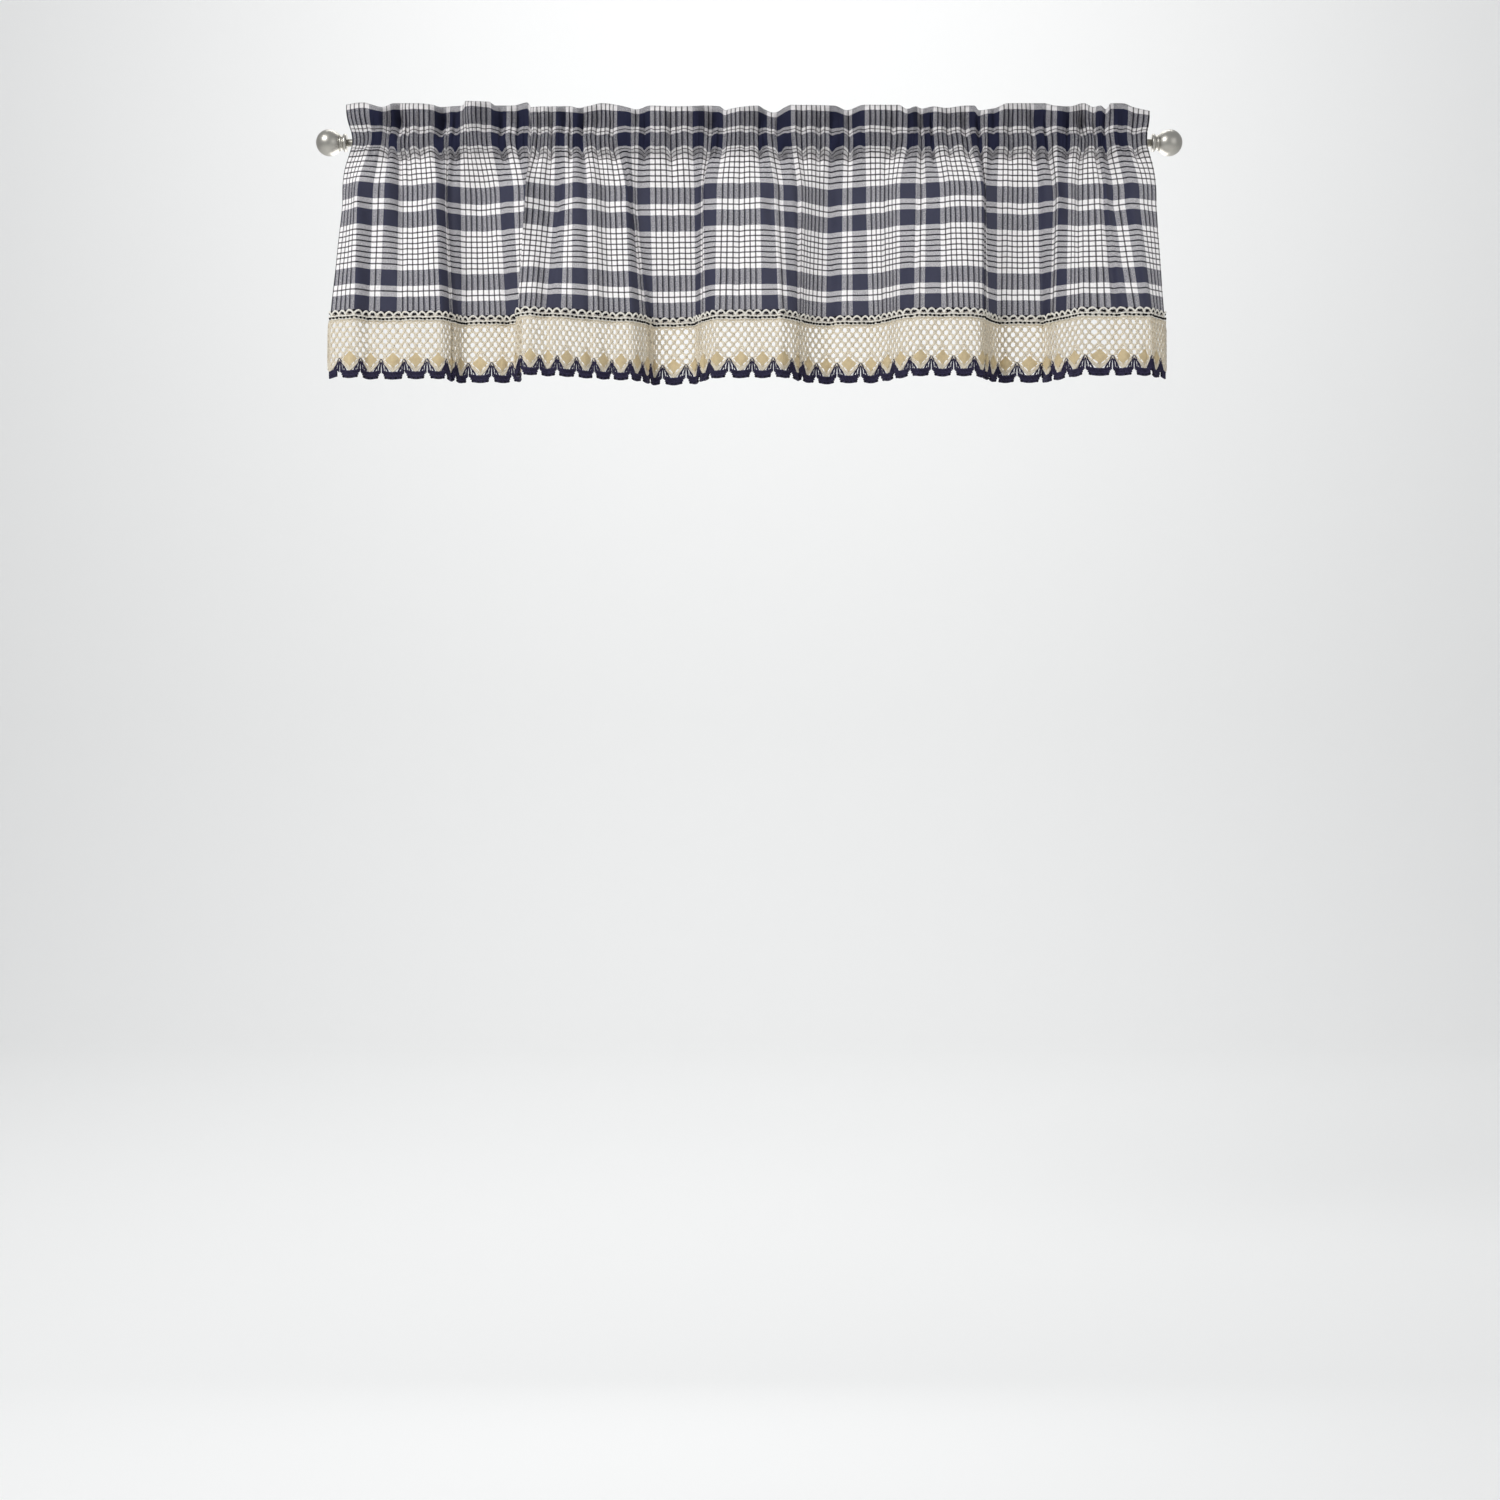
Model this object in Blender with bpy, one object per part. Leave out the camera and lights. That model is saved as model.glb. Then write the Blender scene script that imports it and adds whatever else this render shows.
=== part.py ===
"""Window valance on a curtain rod: a ruffled plaid cloth with a rod pocket, a lace border,
a braid over the join, a scalloped crochet edging, and a metal rod with two ball finials."""

import math

import bmesh
import bpy
import numpy as np

# Driving sizes, in metres. X runs along the rod, -Y is the front, +Z is up, and the
# origin is the middle of the rod's axis.
CELL = 0.007  # one cell of the woven check, the unit of the flat width
ROD_RADIUS = 0.00475
ROD_WALL = 0.0008
ROD_HALF = 0.5177  # half the rod's length
FINIAL_GAP = 0.0003
SPIGOT_RADIUS = 0.0035
SPIGOT_LENGTH = 0.012
CLOTH_THICK = 0.0012
HEADING_THICK = 0.0026  # two layers of cloth
TOP_Z = 0.048  # the heading's top edge on average
EDGE_RISE = 0.28  # how much higher the edge rides where the ruffle falls back, per depth
POCKET_REACH = 0.0084  # how far the pocket stands off the rod's axis, front and back
STITCH_TOP_Z = 0.0125
STITCH_LOW_Z = -0.013
HEM_Z = -0.220
LACE_THICK = 0.0014
LACE_HEADER = 0.0085  # the plain woven edge of the lace, under the braid
BRAID_THICK = 0.0018
BRAID_TOP_Z = -0.2150
BRAID_LOW_Z = -0.2290
LAYER_GAP = 0.0004
BRAID_GAP = 0.0009
NET_PITCH = 0.0193
NET_ROW = 0.0122
NET_HALF_W = 0.0076
NET_HALF_H = 0.0052
NET_FIRST_Z = -0.2365
NET_ROWS = 3
SCALLOPS = 50
VALLEY_Z = -0.2815
POINT_Z = -0.2962
EDGING_GAP = 0.0009
NOTCH_Z = -0.2985
SCALLOP_LOW_Z = -0.3052
EDGING_THICK = 0.0022

# The folds, one row each from left to right: the flat place in cells; the place along
# the rod in mm at the heading, half way down and at the hem; and the depth in mm (minus
# is towards the front) at the same three heights.
FOLD_COLUMNS = ("cell", "x_head", "x_mid", "x_hem", "y_head", "y_mid", "y_hem")
FOLDS = (
    (-5.1, -519, -523, -537, -4, -10, -8),
    (-2.5, -504, -511, -521, -8, -18, -14),
    (0.0, -487, -500, -505, -9, -23, -16),
    (3.0, -471, -482, -488, -5, -22, -14),
    (5.5, -461, -464, -471, 3, -15, -10),
    (8.0, -452, -451, -453, 7, -6, -4),
    (10.0, -443, -440, -439, 0, 1, -2),
    (13.0, -425, -420, -418, -6, -7, -3),
    (16.0, -406, -401, -397, -1, -14, -4),
    (19.0, -392, -391, -387, 7, -7, 3),
    (21.0, -386, -389, -383, 3, 2, 10),
    (24.0, -371, -373, -373, -7, 8, 15),
    (28.0, -355, -347, -344, -13, 10, 16),
    (32.0, -332, -322, -316, -6, 2, 6),
    (35.0, -313, -303, -298, 4, -5, 1),
    (37.5, -298, -288, -293, 6, -10, -5),
    (40.0, -284, -283, -292, -2, -16, -14),
    (42.0, -277, -286, -295, -8, -25, -24),
    (45.0, -263, -269, -278, -8, -14, -26),
    (48.0, -249, -251, -259, 0, -2, -25),
    (51.0, -237, -236, -240, 4, -11, -25),
    (54.0, -222, -221, -220, 0, -19, -24),
    (57.0, -209, -201, -200, 7, -9, -14),
    (61.0, -186, -180, -175, 9, 8, 3),
    (64.0, -170, -159, -154, 2, 3, 13),
    (67.0, -152, -150, -142, -5, 7, 18),
    (69.0, -142, -145, -135, -2, 11, 21),
    (72.0, -127, -128, -125, -6, 11, 24),
    (76.0, -101, -99, -97, -9, 10, 25),
    (80.0, -73, -71, -70, -5, 7, 22),
    (83.0, -58, -62, -63, 0, 0, 13),
    (85.5, -46, -58, -55, 7, -8, 2),
    (88.5, -31, -38, -41, 5, -12, -8),
    (92.0, -12, -13, -13, -5, -15, -16),
    (96.0, 11, 14, 16, 5, -18, -20),
    (99.0, 23, 32, 37, 8, -9, -14),
    (102.0, 42, 50, 54, -2, -1, -2),
    (105.0, 60, 68, 66, -8, 2, 9),
    (108.0, 80, 81, 77, -7, 9, 17),
    (112.0, 103, 102, 100, 4, 12, 23),
    (116.0, 128, 127, 127, 7, 11, 20),
    (120.0, 149, 151, 155, -7, 6, 13),
    (124.0, 175, 174, 177, -10, -4, 1),
    (128.0, 203, 193, 193, -4, -15, -11),
    (132.0, 221, 220, 217, 4, -19, -21),
    (136.0, 237, 244, 245, 0, -20, -27),
    (140.0, 260, 268, 273, 3, -26, -31),
    (144.0, 285, 296, 298, 8, -22, -17),
    (147.0, 299, 303, 304, 2, -10, -6),
    (149.5, 308, 305, 310, -6, -1, 2),
    (153.0, 327, 327, 327, -6, 1, 10),
    (157.0, 351, 353, 355, 4, 7, 12),
    (160.5, 371, 376, 380, 6, 3, 9),
    (163.0, 383, 391, 389, -2, -5, 3),
    (165.5, 398, 396, 396, -7, -13, -3),
    (168.5, 415, 411, 409, -3, -9, -12),
    (172.0, 431, 428, 426, 6, -4, -22),
    (175.0, 443, 449, 453, 2, -20, -29),
    (179.0, 458, 468, 482, -6, -17, -30),
    (182.0, 474, 488, 504, -3, -21, -28),
    (185.0, 495, 506, 518, 1, -18, -20),
    (188.2, 517, 524, 533, 4, -11, -10),
)

# The heading's top edge: the flat place in cells and its height above the rod's axis in mm.
TOP_EDGE = (
    (-5.1, 49), (-1.3, 52), (0.7, 49), (2.8, 46), (6, 51), (12.8, 51), (15.7, 49), (17.5, 46),
    (21.7, 47), (24.7, 48), (26, 54), (31.5, 53), (33, 48), (36.2, 48), (39.5, 52), (41, 46),
    (44, 47), (52, 47), (54.6, 45), (57.8, 48), (60, 51), (64.7, 48), (68.4, 43), (72, 48),
    (77.6, 47), (83, 48), (87, 47), (88.6, 42), (90, 44), (95.8, 48), (98.3, 43), (100.4, 39),
    (102.7, 46), (104, 49), (113, 48), (115.7, 42), (119.8, 49), (126.3, 49), (127.8, 44),
    (130.5, 47), (132.5, 44), (136, 47), (139, 45), (143.4, 48), (145.2, 48), (146.4, 42),
    (151, 45), (153.9, 51), (162.5, 51), (164.6, 48), (167.8, 47), (172.6, 51), (175.2, 46),
    (177.2, 48), (179, 44), (180.3, 51), (183, 51), (185, 46), (188.2, 41),
)

# Where the lace's valleys lie on the cloth, as (number of the valley, flat place in cells):
# the lace is eased on, a little tighter in some places than in others.
SCALLOP_PLACES = (
    (0, -2.7), (5, 17.5), (9, 33.0), (12, 43.6), (17, 60.5), (19, 67.2), (21, 73.8), (24, 86.6),
    (28, 101.8), (33, 122.4), (39, 145.4), (41, 152.0), (44, 164.2), (47, 176.0), (50, 186.2),
)

METALS = {"satin_nickel": ((0.50, 0.49, 0.46, 1), 1.0, 0.32)}
CLOTHS = {
    "plaid_cotton": ((0.12, 0.13, 0.20, 1), 0.0, 0.85),
    "crochet_lace": ((0.78, 0.74, 0.62, 1), 0.0, 0.85),
    "woven_braid": ((0.55, 0.52, 0.47, 1), 0.0, 0.80),
    "navy_crochet": ((0.02, 0.02, 0.05, 1), 0.0, 0.80),
}


def clear_scene():
    """Starts from an empty file."""
    for item in list(bpy.data.objects):
        bpy.data.objects.remove(item)


def column(name):
    """One column of the table of folds."""
    return np.array([row[FOLD_COLUMNS.index(name)] for row in FOLDS], float)


def smooth_curve(at, knots, values):
    """A curve through the values that turns only where they do (monotone cubic)."""
    step = np.diff(knots)
    slope = np.diff(values) / step
    same = slope[:-1] * slope[1:] > 0
    near = np.where(same, slope[:-1], 1.0)
    far = np.where(same, slope[1:], 1.0)
    inner = np.where(same, 2 / (1 / near + 1 / far), 0.0)
    bend = np.concatenate([[slope[0]], inner, [slope[-1]]])
    i = np.clip(np.searchsorted(knots, at, side="right") - 1, 0, len(step) - 1)
    t = (at - knots[i]) / step[i]
    a = (1 + 2 * t) * (1 - t) ** 2
    b = t * t * (3 - 2 * t)
    c = t * (1 - t) ** 2
    d = t * t * (t - 1)
    return a * values[i] + b * values[i + 1] + step[i] * (c * bend[i] + d * bend[i + 1])


def even_depth(x, hint, hold):
    """Depths near the table's that give each flank of a fold its own flat width of cloth.

    A flank of flat width s that spans dx along the rod runs sqrt(s^2 - dx^2) in depth;
    the runs are fitted by least squares, held to the table's depths by `hold`."""
    flat = np.diff(column("cell")) * CELL * 1000
    run = np.sqrt(np.maximum(flat**2 - np.diff(x) ** 2, 0)) * np.sign(np.diff(hint))
    n = len(x)
    rise = np.eye(n)[1:] - np.eye(n)[:-1]
    left = rise.T @ rise + hold * np.eye(n)
    return np.linalg.solve(left, rise.T @ run + hold * hint)


def fold_field():
    """The smoothed columns of the table, in metres, as functions of the flat place."""
    cells = column("cell")
    field = {}
    for level, hold in (("head", 0.6), ("mid", 0.35), ("hem", 0.25)):
        x = column("x_" + level)
        y = even_depth(x, column("y_" + level), hold)
        field[level] = (cells, x / 1000, y / 1000)
    return field


FIELD = fold_field()


def at_level(level, u):
    """Place along the rod and depth at one of the three heights."""
    cells, x, y = FIELD[level]
    return smooth_curve(u, cells, x), smooth_curve(u, cells, y)


def ramp(t):
    """0 to 1 with soft ends."""
    t = np.clip(t, 0, 1)
    return t * t * (3 - 2 * t)


def fold_depth(u, z):
    """The depth of the folds at flat place u and height z, before the rod opens the pocket."""
    yh, ym, yl = (at_level(level, u)[1] for level in ("head", "mid", "hem"))
    low = np.clip((-0.080 - z) / 0.130, 0, 1.25)
    hang = 0.28 * ym + (ym - 0.28 * ym) * ramp((STITCH_LOW_Z - z) / 0.070)
    hang = hang + (yl - ym) * low
    ruffle = 0.30 * yh + 0.70 * yh * ramp((z - STITCH_TOP_Z) / 0.022)
    mix = ramp((z - STITCH_LOW_Z) / (STITCH_TOP_Z - STITCH_LOW_Z))
    return hang * (1 - mix) + ruffle * mix


def front_xy(u, z):
    """The front layer: place along the rod and depth at flat place u and height z."""
    xh, xm, xl = (at_level(level, u)[0] for level in ("head", "mid", "hem"))
    down = np.clip((STITCH_TOP_Z - z) / 0.080, 0, 1)
    low = np.clip((-0.080 - z) / 0.130, 0, 1.25)
    x = (1 - ramp(down)) * xh + ramp(down) * (xm + (xl - xm) * low)
    y = fold_depth(u, z)
    wave = 0.0014 * (1 + np.sin(2 * math.pi * u / 5.6))
    open_by = np.maximum(POCKET_REACH + y, 0.0035) + wave
    return x + drawn_in(u, z), y - open_by * pocket_swell(z) ** 0.6


def drawn_in(u, z):
    """How far the pocket draws the cloth's two side edges in from the finials."""
    near_rod = np.exp(-(((z + 0.002) / 0.026) ** 2))
    left = 1 - ramp((u - FOLDS[0][0]) / 8)
    right = 1 - ramp((FOLDS[-1][0] - u) / 8)
    return near_rod * (0.010 * left - 0.0065 * right)


def pocket_swell(z):
    """0 at both rows of stitches and outside them, 1 half way between."""
    middle = 0.5 * (STITCH_TOP_Z + STITCH_LOW_Z)
    half = 0.5 * (STITCH_TOP_Z - STITCH_LOW_Z)
    return np.clip(1 - ((z - middle) / half) ** 2, 0, 1)


def back_xy(u, z):
    """The back layer of the pocket, behind the rod."""
    x = front_xy(u, z)[0]
    y = fold_depth(u, z)
    wave = 0.0014 * (1 + np.sin(2 * math.pi * u / 4.7 + 1.0))
    open_by = np.maximum(POCKET_REACH - y, 0.0035) + wave
    return x, y + open_by * pocket_swell(z) ** 0.5


def placed(layer, u, z, out):
    """Points of a layer, moved by `out` along its normal (minus is to the front)."""
    du, dz = 0.25, 0.001
    xa, ya = layer(u - du, z)
    xb, yb = layer(u + du, z)
    xc, yc = layer(u, z - dz)
    xd, yd = layer(u, z + dz)
    along = np.stack([xb - xa, yb - ya, np.zeros_like(xa)], axis=-1)
    up = np.stack([xd - xc, yd - yc, np.full_like(xc, 2 * dz)], axis=-1)
    normal = np.cross(up, along)
    normal /= np.linalg.norm(normal, axis=-1, keepdims=True)
    x, y = layer(u, z)
    return np.stack([x, y, z + 0 * x], axis=-1) + normal * np.asarray(out)[..., None]


def columns_of_cloth():
    """Flat places of the cloth's columns: every fold of the table and the places between."""
    cells = column("cell")
    places = []
    for a, b in zip(cells[:-1], cells[1:]):
        parts = 2 if b - a > 2.7 else 1
        places.extend(a + (b - a) * k / parts for k in range(parts))
    return np.array(places + [cells[-1]])


def add_body(name, points, faces, slot):
    """Adds one closed body with its material, its faces turned outwards."""
    mesh = bpy.data.meshes.new(name)
    mesh.from_pydata([tuple(p) for p in points], [], [tuple(f) for f in faces])
    shape = bmesh.new()
    shape.from_mesh(mesh)
    bmesh.ops.remove_doubles(shape, verts=shape.verts, dist=1e-6)
    bmesh.ops.triangulate(shape, faces=shape.faces)
    bmesh.ops.recalc_face_normals(shape, faces=shape.faces)
    shape.to_mesh(mesh)
    shape.free()
    mesh.materials.append(material(slot))
    item = bpy.data.objects.new(name, mesh)
    bpy.context.scene.collection.objects.link(item)
    return item


def material(slot):
    """The plain material of a slot."""
    found = bpy.data.materials.get(slot)
    if found:
        return found
    colour, metallic, roughness = {**METALS, **CLOTHS}[slot]
    made = bpy.data.materials.new(slot)
    made.use_nodes = True
    shader = made.node_tree.nodes["Principled BSDF"]
    shader.inputs["Base Color"].default_value = colour
    shader.inputs["Metallic"].default_value = metallic
    shader.inputs["Roughness"].default_value = roughness
    return made


def section_of_cloth():
    """The cloth's upright section: rows of (layer, height, half thickness side) and its quads."""
    panel = (HEM_Z, -0.168, -0.116, -0.074, -0.041, -0.017)
    pocket = (-0.0105, -0.003, 0.0055, 0.0108)
    heading = (0.0148, 0.031, TOP_Z)
    front = [*panel, *pocket, *heading]
    back = (0.0075, 0.000, -0.0070)
    rows = [("front", z, -1) for z in front]
    rows += [("front", z, 1) for z in front]
    rows += [("back", z, 1) for z in back]
    rows += [("back", z, -1) for z in back]
    n = len(front)
    quads = [(k, k + 1, n + k + 1, n + k) for k in range(n - 1)]
    top, low = len(panel) + len(pocket), len(panel) - 1
    outer = [n + top] + [2 * n + k for k in range(3)] + [n + low]
    inner = [n + top - 1] + [2 * n + 3 + k for k in range(3)] + [n + low + 1]
    quads += [(outer[k], outer[k + 1], inner[k + 1], inner[k]) for k in range(4)]
    return rows, quads


def top_height(u):
    """How far the heading's ruffled edge stands above its average height."""
    places = np.array(TOP_EDGE, float)
    edge = smooth_curve(u, places[:, 0], places[:, 1]) / 1000
    return edge - TOP_Z + EDGE_RISE * fold_depth(u, TOP_Z + 0 * u)


def cloth_row(row, u):
    """One row of the cloth's points for every column."""
    layer, height, side = row
    z = np.full_like(u, height)
    if height > 0.020:
        z = z + top_height(u) * (height - 0.020) / (TOP_Z - 0.020)
    thick = HEADING_THICK if height > STITCH_TOP_Z and layer == "front" else CLOTH_THICK
    out = np.full_like(u, side * thick / 2)
    return placed(front_xy if layer == "front" else back_xy, u, z, out)


def swept(rows, quads):
    """A section's quads swept through all columns: side faces and the two ends."""
    total = rows.shape[0]
    count = rows.shape[1]
    edges = {}
    for quad in quads:
        for a, b in zip(quad, quad[1:] + quad[:1]):
            edges[(a, b)] = 1
    rim = [(a, b) for a, b in edges if (b, a) not in edges]
    faces = [tuple(p * count for p in quad) for quad in quads]
    faces += [tuple(p * count + count - 1 for p in reversed(quad)) for quad in quads]
    for a, b in rim:
        for j in range(count - 1):
            faces.append((b * count + j, a * count + j, a * count + j + 1, b * count + j + 1))
    return rows.reshape(total * count, 3), faces


def make_cloth():
    """The plaid cloth: one piece folded over at the top, stitched twice to make the pocket."""
    u = columns_of_cloth()
    rows, quads = section_of_cloth()
    points = np.array([cloth_row(row, u) for row in rows])
    return add_body("valance_cloth", *swept(points, quads), "plaid_cotton")


def zipped(first, second):
    """Triangles between two lines of points, each ((u, z), index), both from left to right."""
    faces = []
    i = j = 0
    while i < len(first) - 1 or j < len(second) - 1:
        right = j == len(second) - 1
        if not right and i < len(first) - 1:
            right = first[i + 1][0][0] <= second[j + 1][0][0]
        if right:
            faces.append((first[i][1], second[j][1], first[i + 1][1]))
            i += 1
        else:
            faces.append((first[i][1], second[j][1], second[j + 1][1]))
            j += 1
    return faces


def thickened(flat, faces, out, thick):
    """A flat pattern of (u, z) points laid on the folds, with a front, a back and its rims."""
    u = np.array([p[0] for p in flat])
    z = np.array([p[1] for p in flat])
    front = placed(front_xy, u, z, np.full_like(u, out - thick / 2))
    back = placed(front_xy, u, z, np.full_like(u, out + thick / 2))
    n = len(flat)
    edges = {(a, b) for f in faces for a, b in zip(f, f[1:] + f[:1])}
    body = [tuple(f) for f in faces] + [tuple(n + k for k in reversed(f)) for f in faces]
    for a, b in sorted(edges):
        if (b, a) not in edges:
            body.append((b, a, n + a, n + b))
    return np.concatenate([front, back]), body


class Pattern:
    """Collects the points and triangles of a flat pattern."""

    def __init__(self):
        self.flat = []
        self.faces = []

    def line(self, places):
        """Adds a line of points and returns it with their indices."""
        first = len(self.flat)
        self.flat.extend(places)
        return [(place, first + k) for k, place in enumerate(places)]

    def fill(self, upper, lower):
        """Fills the strip between two lines."""
        self.faces.extend(zipped(upper, lower))


def net_row(pattern, row):
    """One row of openings of the net: the lines along their upper and their lower corners."""
    left, right = FOLDS[0][0], FOLDS[-1][0]
    pitch = NET_PITCH / CELL
    half = NET_HALF_W / CELL
    z = NET_FIRST_Z - NET_ROW * row
    middle = left + pitch * (0.55 if row % 2 else 1.05)
    ends = pattern.line([(left, z), (right, z)])
    upper, lower = [ends[0]], [ends[0]]
    while middle + half < right - 0.5:
        hole = pattern.line(
            [(middle - half, z), (middle, z + NET_HALF_H), (middle + half, z), (middle, z - NET_HALF_H)]
        )
        upper += [hole[0], hole[1], hole[2]]
        lower += [hole[0], hole[3], hole[2]]
        middle += pitch
    return upper + [ends[1]], lower + [ends[1]]


def valley_cell(number):
    """The flat place of a valley of the lace, by its number from the left."""
    places = np.array(SCALLOP_PLACES, float)
    return float(smooth_curve(np.array([float(number)]), places[:, 0], places[:, 1])[0])


def zigzag(shift):
    """The lace's lower edge: a point under each scallop and a valley between scallops."""
    left, right = FOLDS[0][0], FOLDS[-1][0]
    places = [(left, VALLEY_Z - 0.006 - shift)]
    for k in range(SCALLOPS + 1):
        valley = valley_cell(k)
        places.append((valley - 0.20, VALLEY_Z - shift))
        places.append((valley + 0.20, VALLEY_Z - shift))
        if k < SCALLOPS:
            places.append((valley_cell(k + 0.45), POINT_Z - shift))
            places.append((valley_cell(k + 0.55), POINT_Z - shift))
    return places + [(right, VALLEY_Z - 0.006 - shift)]


def scallops():
    """The edging's lower edge: a round scallop under each point, a notch at each valley."""
    left, right = FOLDS[0][0], FOLDS[-1][0]
    arc = ((0.12, 0.60), (0.30, 0.92), (0.50, 1.0), (0.70, 0.92), (0.88, 0.60))
    places = [(left, SCALLOP_LOW_Z)]
    for k in range(SCALLOPS + 1):
        places.append((valley_cell(k), NOTCH_Z))
        if k < SCALLOPS:
            for share, drop in arc:
                places.append((valley_cell(k + share), NOTCH_Z + (SCALLOP_LOW_Z - NOTCH_Z) * drop))
    return places + [(right, SCALLOP_LOW_Z)]


def make_lace():
    """The lace border: a woven header under the braid, a net, and a pointed lower edge."""
    u = columns_of_cloth()
    pattern = Pattern()
    top = pattern.line([(c, HEM_Z - LAYER_GAP) for c in u])
    above = pattern.line([(c, HEM_Z - LACE_HEADER) for c in u])
    pattern.fill(top, above)
    for row in range(NET_ROWS):
        upper, lower = net_row(pattern, row)
        pattern.fill(above, upper)
        above = lower
    pattern.fill(above, pattern.line(zigzag(0)))
    body = thickened(pattern.flat, pattern.faces, 0.0, LACE_THICK)
    return add_body("lace_border", *body, "crochet_lace")


def make_edging():
    """The crocheted edging that follows the lace's points."""
    pattern = Pattern()
    pattern.fill(pattern.line(zigzag(EDGING_GAP)), pattern.line(scallops()))
    body = thickened(pattern.flat, pattern.faces, 0.0, EDGING_THICK)
    return add_body("scallop_edging", *body, "navy_crochet")


def make_braid():
    """The braid sewn over the join of the cloth and the lace."""
    u = columns_of_cloth()
    pattern = Pattern()
    top = pattern.line([(c, BRAID_TOP_Z) for c in u])
    pattern.fill(top, pattern.line([(c, BRAID_LOW_Z) for c in u]))
    out = -(max(CLOTH_THICK, LACE_THICK) / 2 + BRAID_GAP + BRAID_THICK / 2)
    body = thickened(pattern.flat, pattern.faces, out, BRAID_THICK)
    return add_body("braid_trim", *body, "woven_braid")


def turned(name, profile, closed, segments, slot):
    """A body turned about the rod's axis from (x, radius) points."""
    points = []
    rings = []
    for x, radius in profile:
        if radius == 0:
            rings.append([len(points)] * segments)
            points.append((x, 0.0, 0.0))
            continue
        rings.append([len(points) + k for k in range(segments)])
        for k in range(segments):
            turn = 2 * math.pi * k / segments
            points.append((x, radius * math.cos(turn), radius * math.sin(turn)))
    faces = []
    pairs = list(zip(rings[:-1], rings[1:])) + ([(rings[-1], rings[0])] if closed else [])
    for a, b in pairs:
        for k in range(segments):
            m = (k + 1) % segments
            face = dict.fromkeys((a[k], a[m], b[m], b[k]))
            faces.append(tuple(face))
    return add_body(name, points, faces, slot)


def make_rod():
    """The rod, a metal tube."""
    bore = ROD_RADIUS - ROD_WALL
    ends = ((-ROD_HALF, ROD_RADIUS), (ROD_HALF, ROD_RADIUS), (ROD_HALF, bore), (-ROD_HALF, bore))
    return turned("curtain_rod", ends, True, 28, "satin_nickel")


def finial_profile():
    """(distance from the rod's end, radius) of a finial, from its spigot to its ball."""
    neck = (
        (-SPIGOT_LENGTH, 0.0),
        (-SPIGOT_LENGTH, SPIGOT_RADIUS),
        (0.0, SPIGOT_RADIUS),
        (0.0, 0.0104),
        (0.0006, 0.0114),
        (0.0036, 0.0114),
        (0.0046, 0.0098),
        (0.0056, 0.0084),
        (0.0068, 0.0098),
        (0.0084, 0.0096),
        (0.0094, 0.0098),
        (0.0104, 0.0112),
        (0.0122, 0.0112),
        (0.0132, 0.0102),
    )
    centre, radius = 0.0228, 0.0169
    turns = [math.pi - 0.62 - (math.pi - 0.62) * k / 9 for k in range(10)]
    ball = [(centre + radius * math.cos(t), radius * math.sin(t)) for t in turns]
    ball[-1] = (centre + radius, 0.0)
    return [*neck, *ball[1:]]


def make_finial(name, side):
    """A ball finial whose spigot screws into the rod's end."""
    start = side * (ROD_HALF + FINIAL_GAP)
    profile = [(start + side * x, r) for x, r in finial_profile()]
    return turned(name, profile, False, 22, "satin_nickel")


def main():
    """Builds every piece in its place."""
    clear_scene()
    make_cloth()
    make_lace()
    make_braid()
    make_edging()
    make_rod()
    make_finial("finial_left", -1)
    make_finial("finial_right", 1)


main()
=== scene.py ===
"""Dresses a window valance on a curtain rod: gathered plaid cotton, lace border, looped braid,
crocheted edging, rod and finials. Metres; X runs along the rod, -Y is the front, +Z is up."""

import bpy
import numpy as np
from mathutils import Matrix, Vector


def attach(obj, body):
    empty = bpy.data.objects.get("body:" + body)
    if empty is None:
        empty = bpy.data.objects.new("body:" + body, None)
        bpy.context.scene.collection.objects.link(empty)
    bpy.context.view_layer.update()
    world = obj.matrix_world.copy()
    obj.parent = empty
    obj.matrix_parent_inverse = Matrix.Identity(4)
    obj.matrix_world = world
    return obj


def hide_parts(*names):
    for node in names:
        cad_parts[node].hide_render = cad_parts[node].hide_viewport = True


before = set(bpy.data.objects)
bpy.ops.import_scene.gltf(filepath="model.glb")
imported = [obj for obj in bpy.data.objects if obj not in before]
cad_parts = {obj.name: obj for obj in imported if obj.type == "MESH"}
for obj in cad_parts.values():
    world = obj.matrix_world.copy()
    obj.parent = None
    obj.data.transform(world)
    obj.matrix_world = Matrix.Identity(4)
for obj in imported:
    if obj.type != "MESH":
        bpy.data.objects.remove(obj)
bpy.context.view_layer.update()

# ----------------------------------------------------------
# The plaid cloth. One width of light yarn-dyed cotton, folded to the back at the
# top and stitched in two rows. The rod runs between the rows and gathers the cloth.

CHECK = 0.007  # one cell of the woven check, the unit of the flat width
CHECK_HIGH = 0.00687  # the same along the drop, where the weft is beaten a little closer
HEM_Z = -0.2255
WEFT_START_Z = -0.220  # where the check's first navy band starts, at the braid
STITCH_LOW_Z = -0.013
STITCH_TOP_Z = 0.0125
POCKET_REACH = 0.0084  # how far the pocket stands off the rod's axis, front and back
EDGE_RISE = 0.28  # how much higher the top edge rides where the ruffle falls back, per depth
TOP_Z = 0.048  # the top edge on average
MID_Z = -0.080  # the height of the folds' middle columns
HEM_SPAN = 0.130  # from there down to the height of the hem columns

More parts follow.
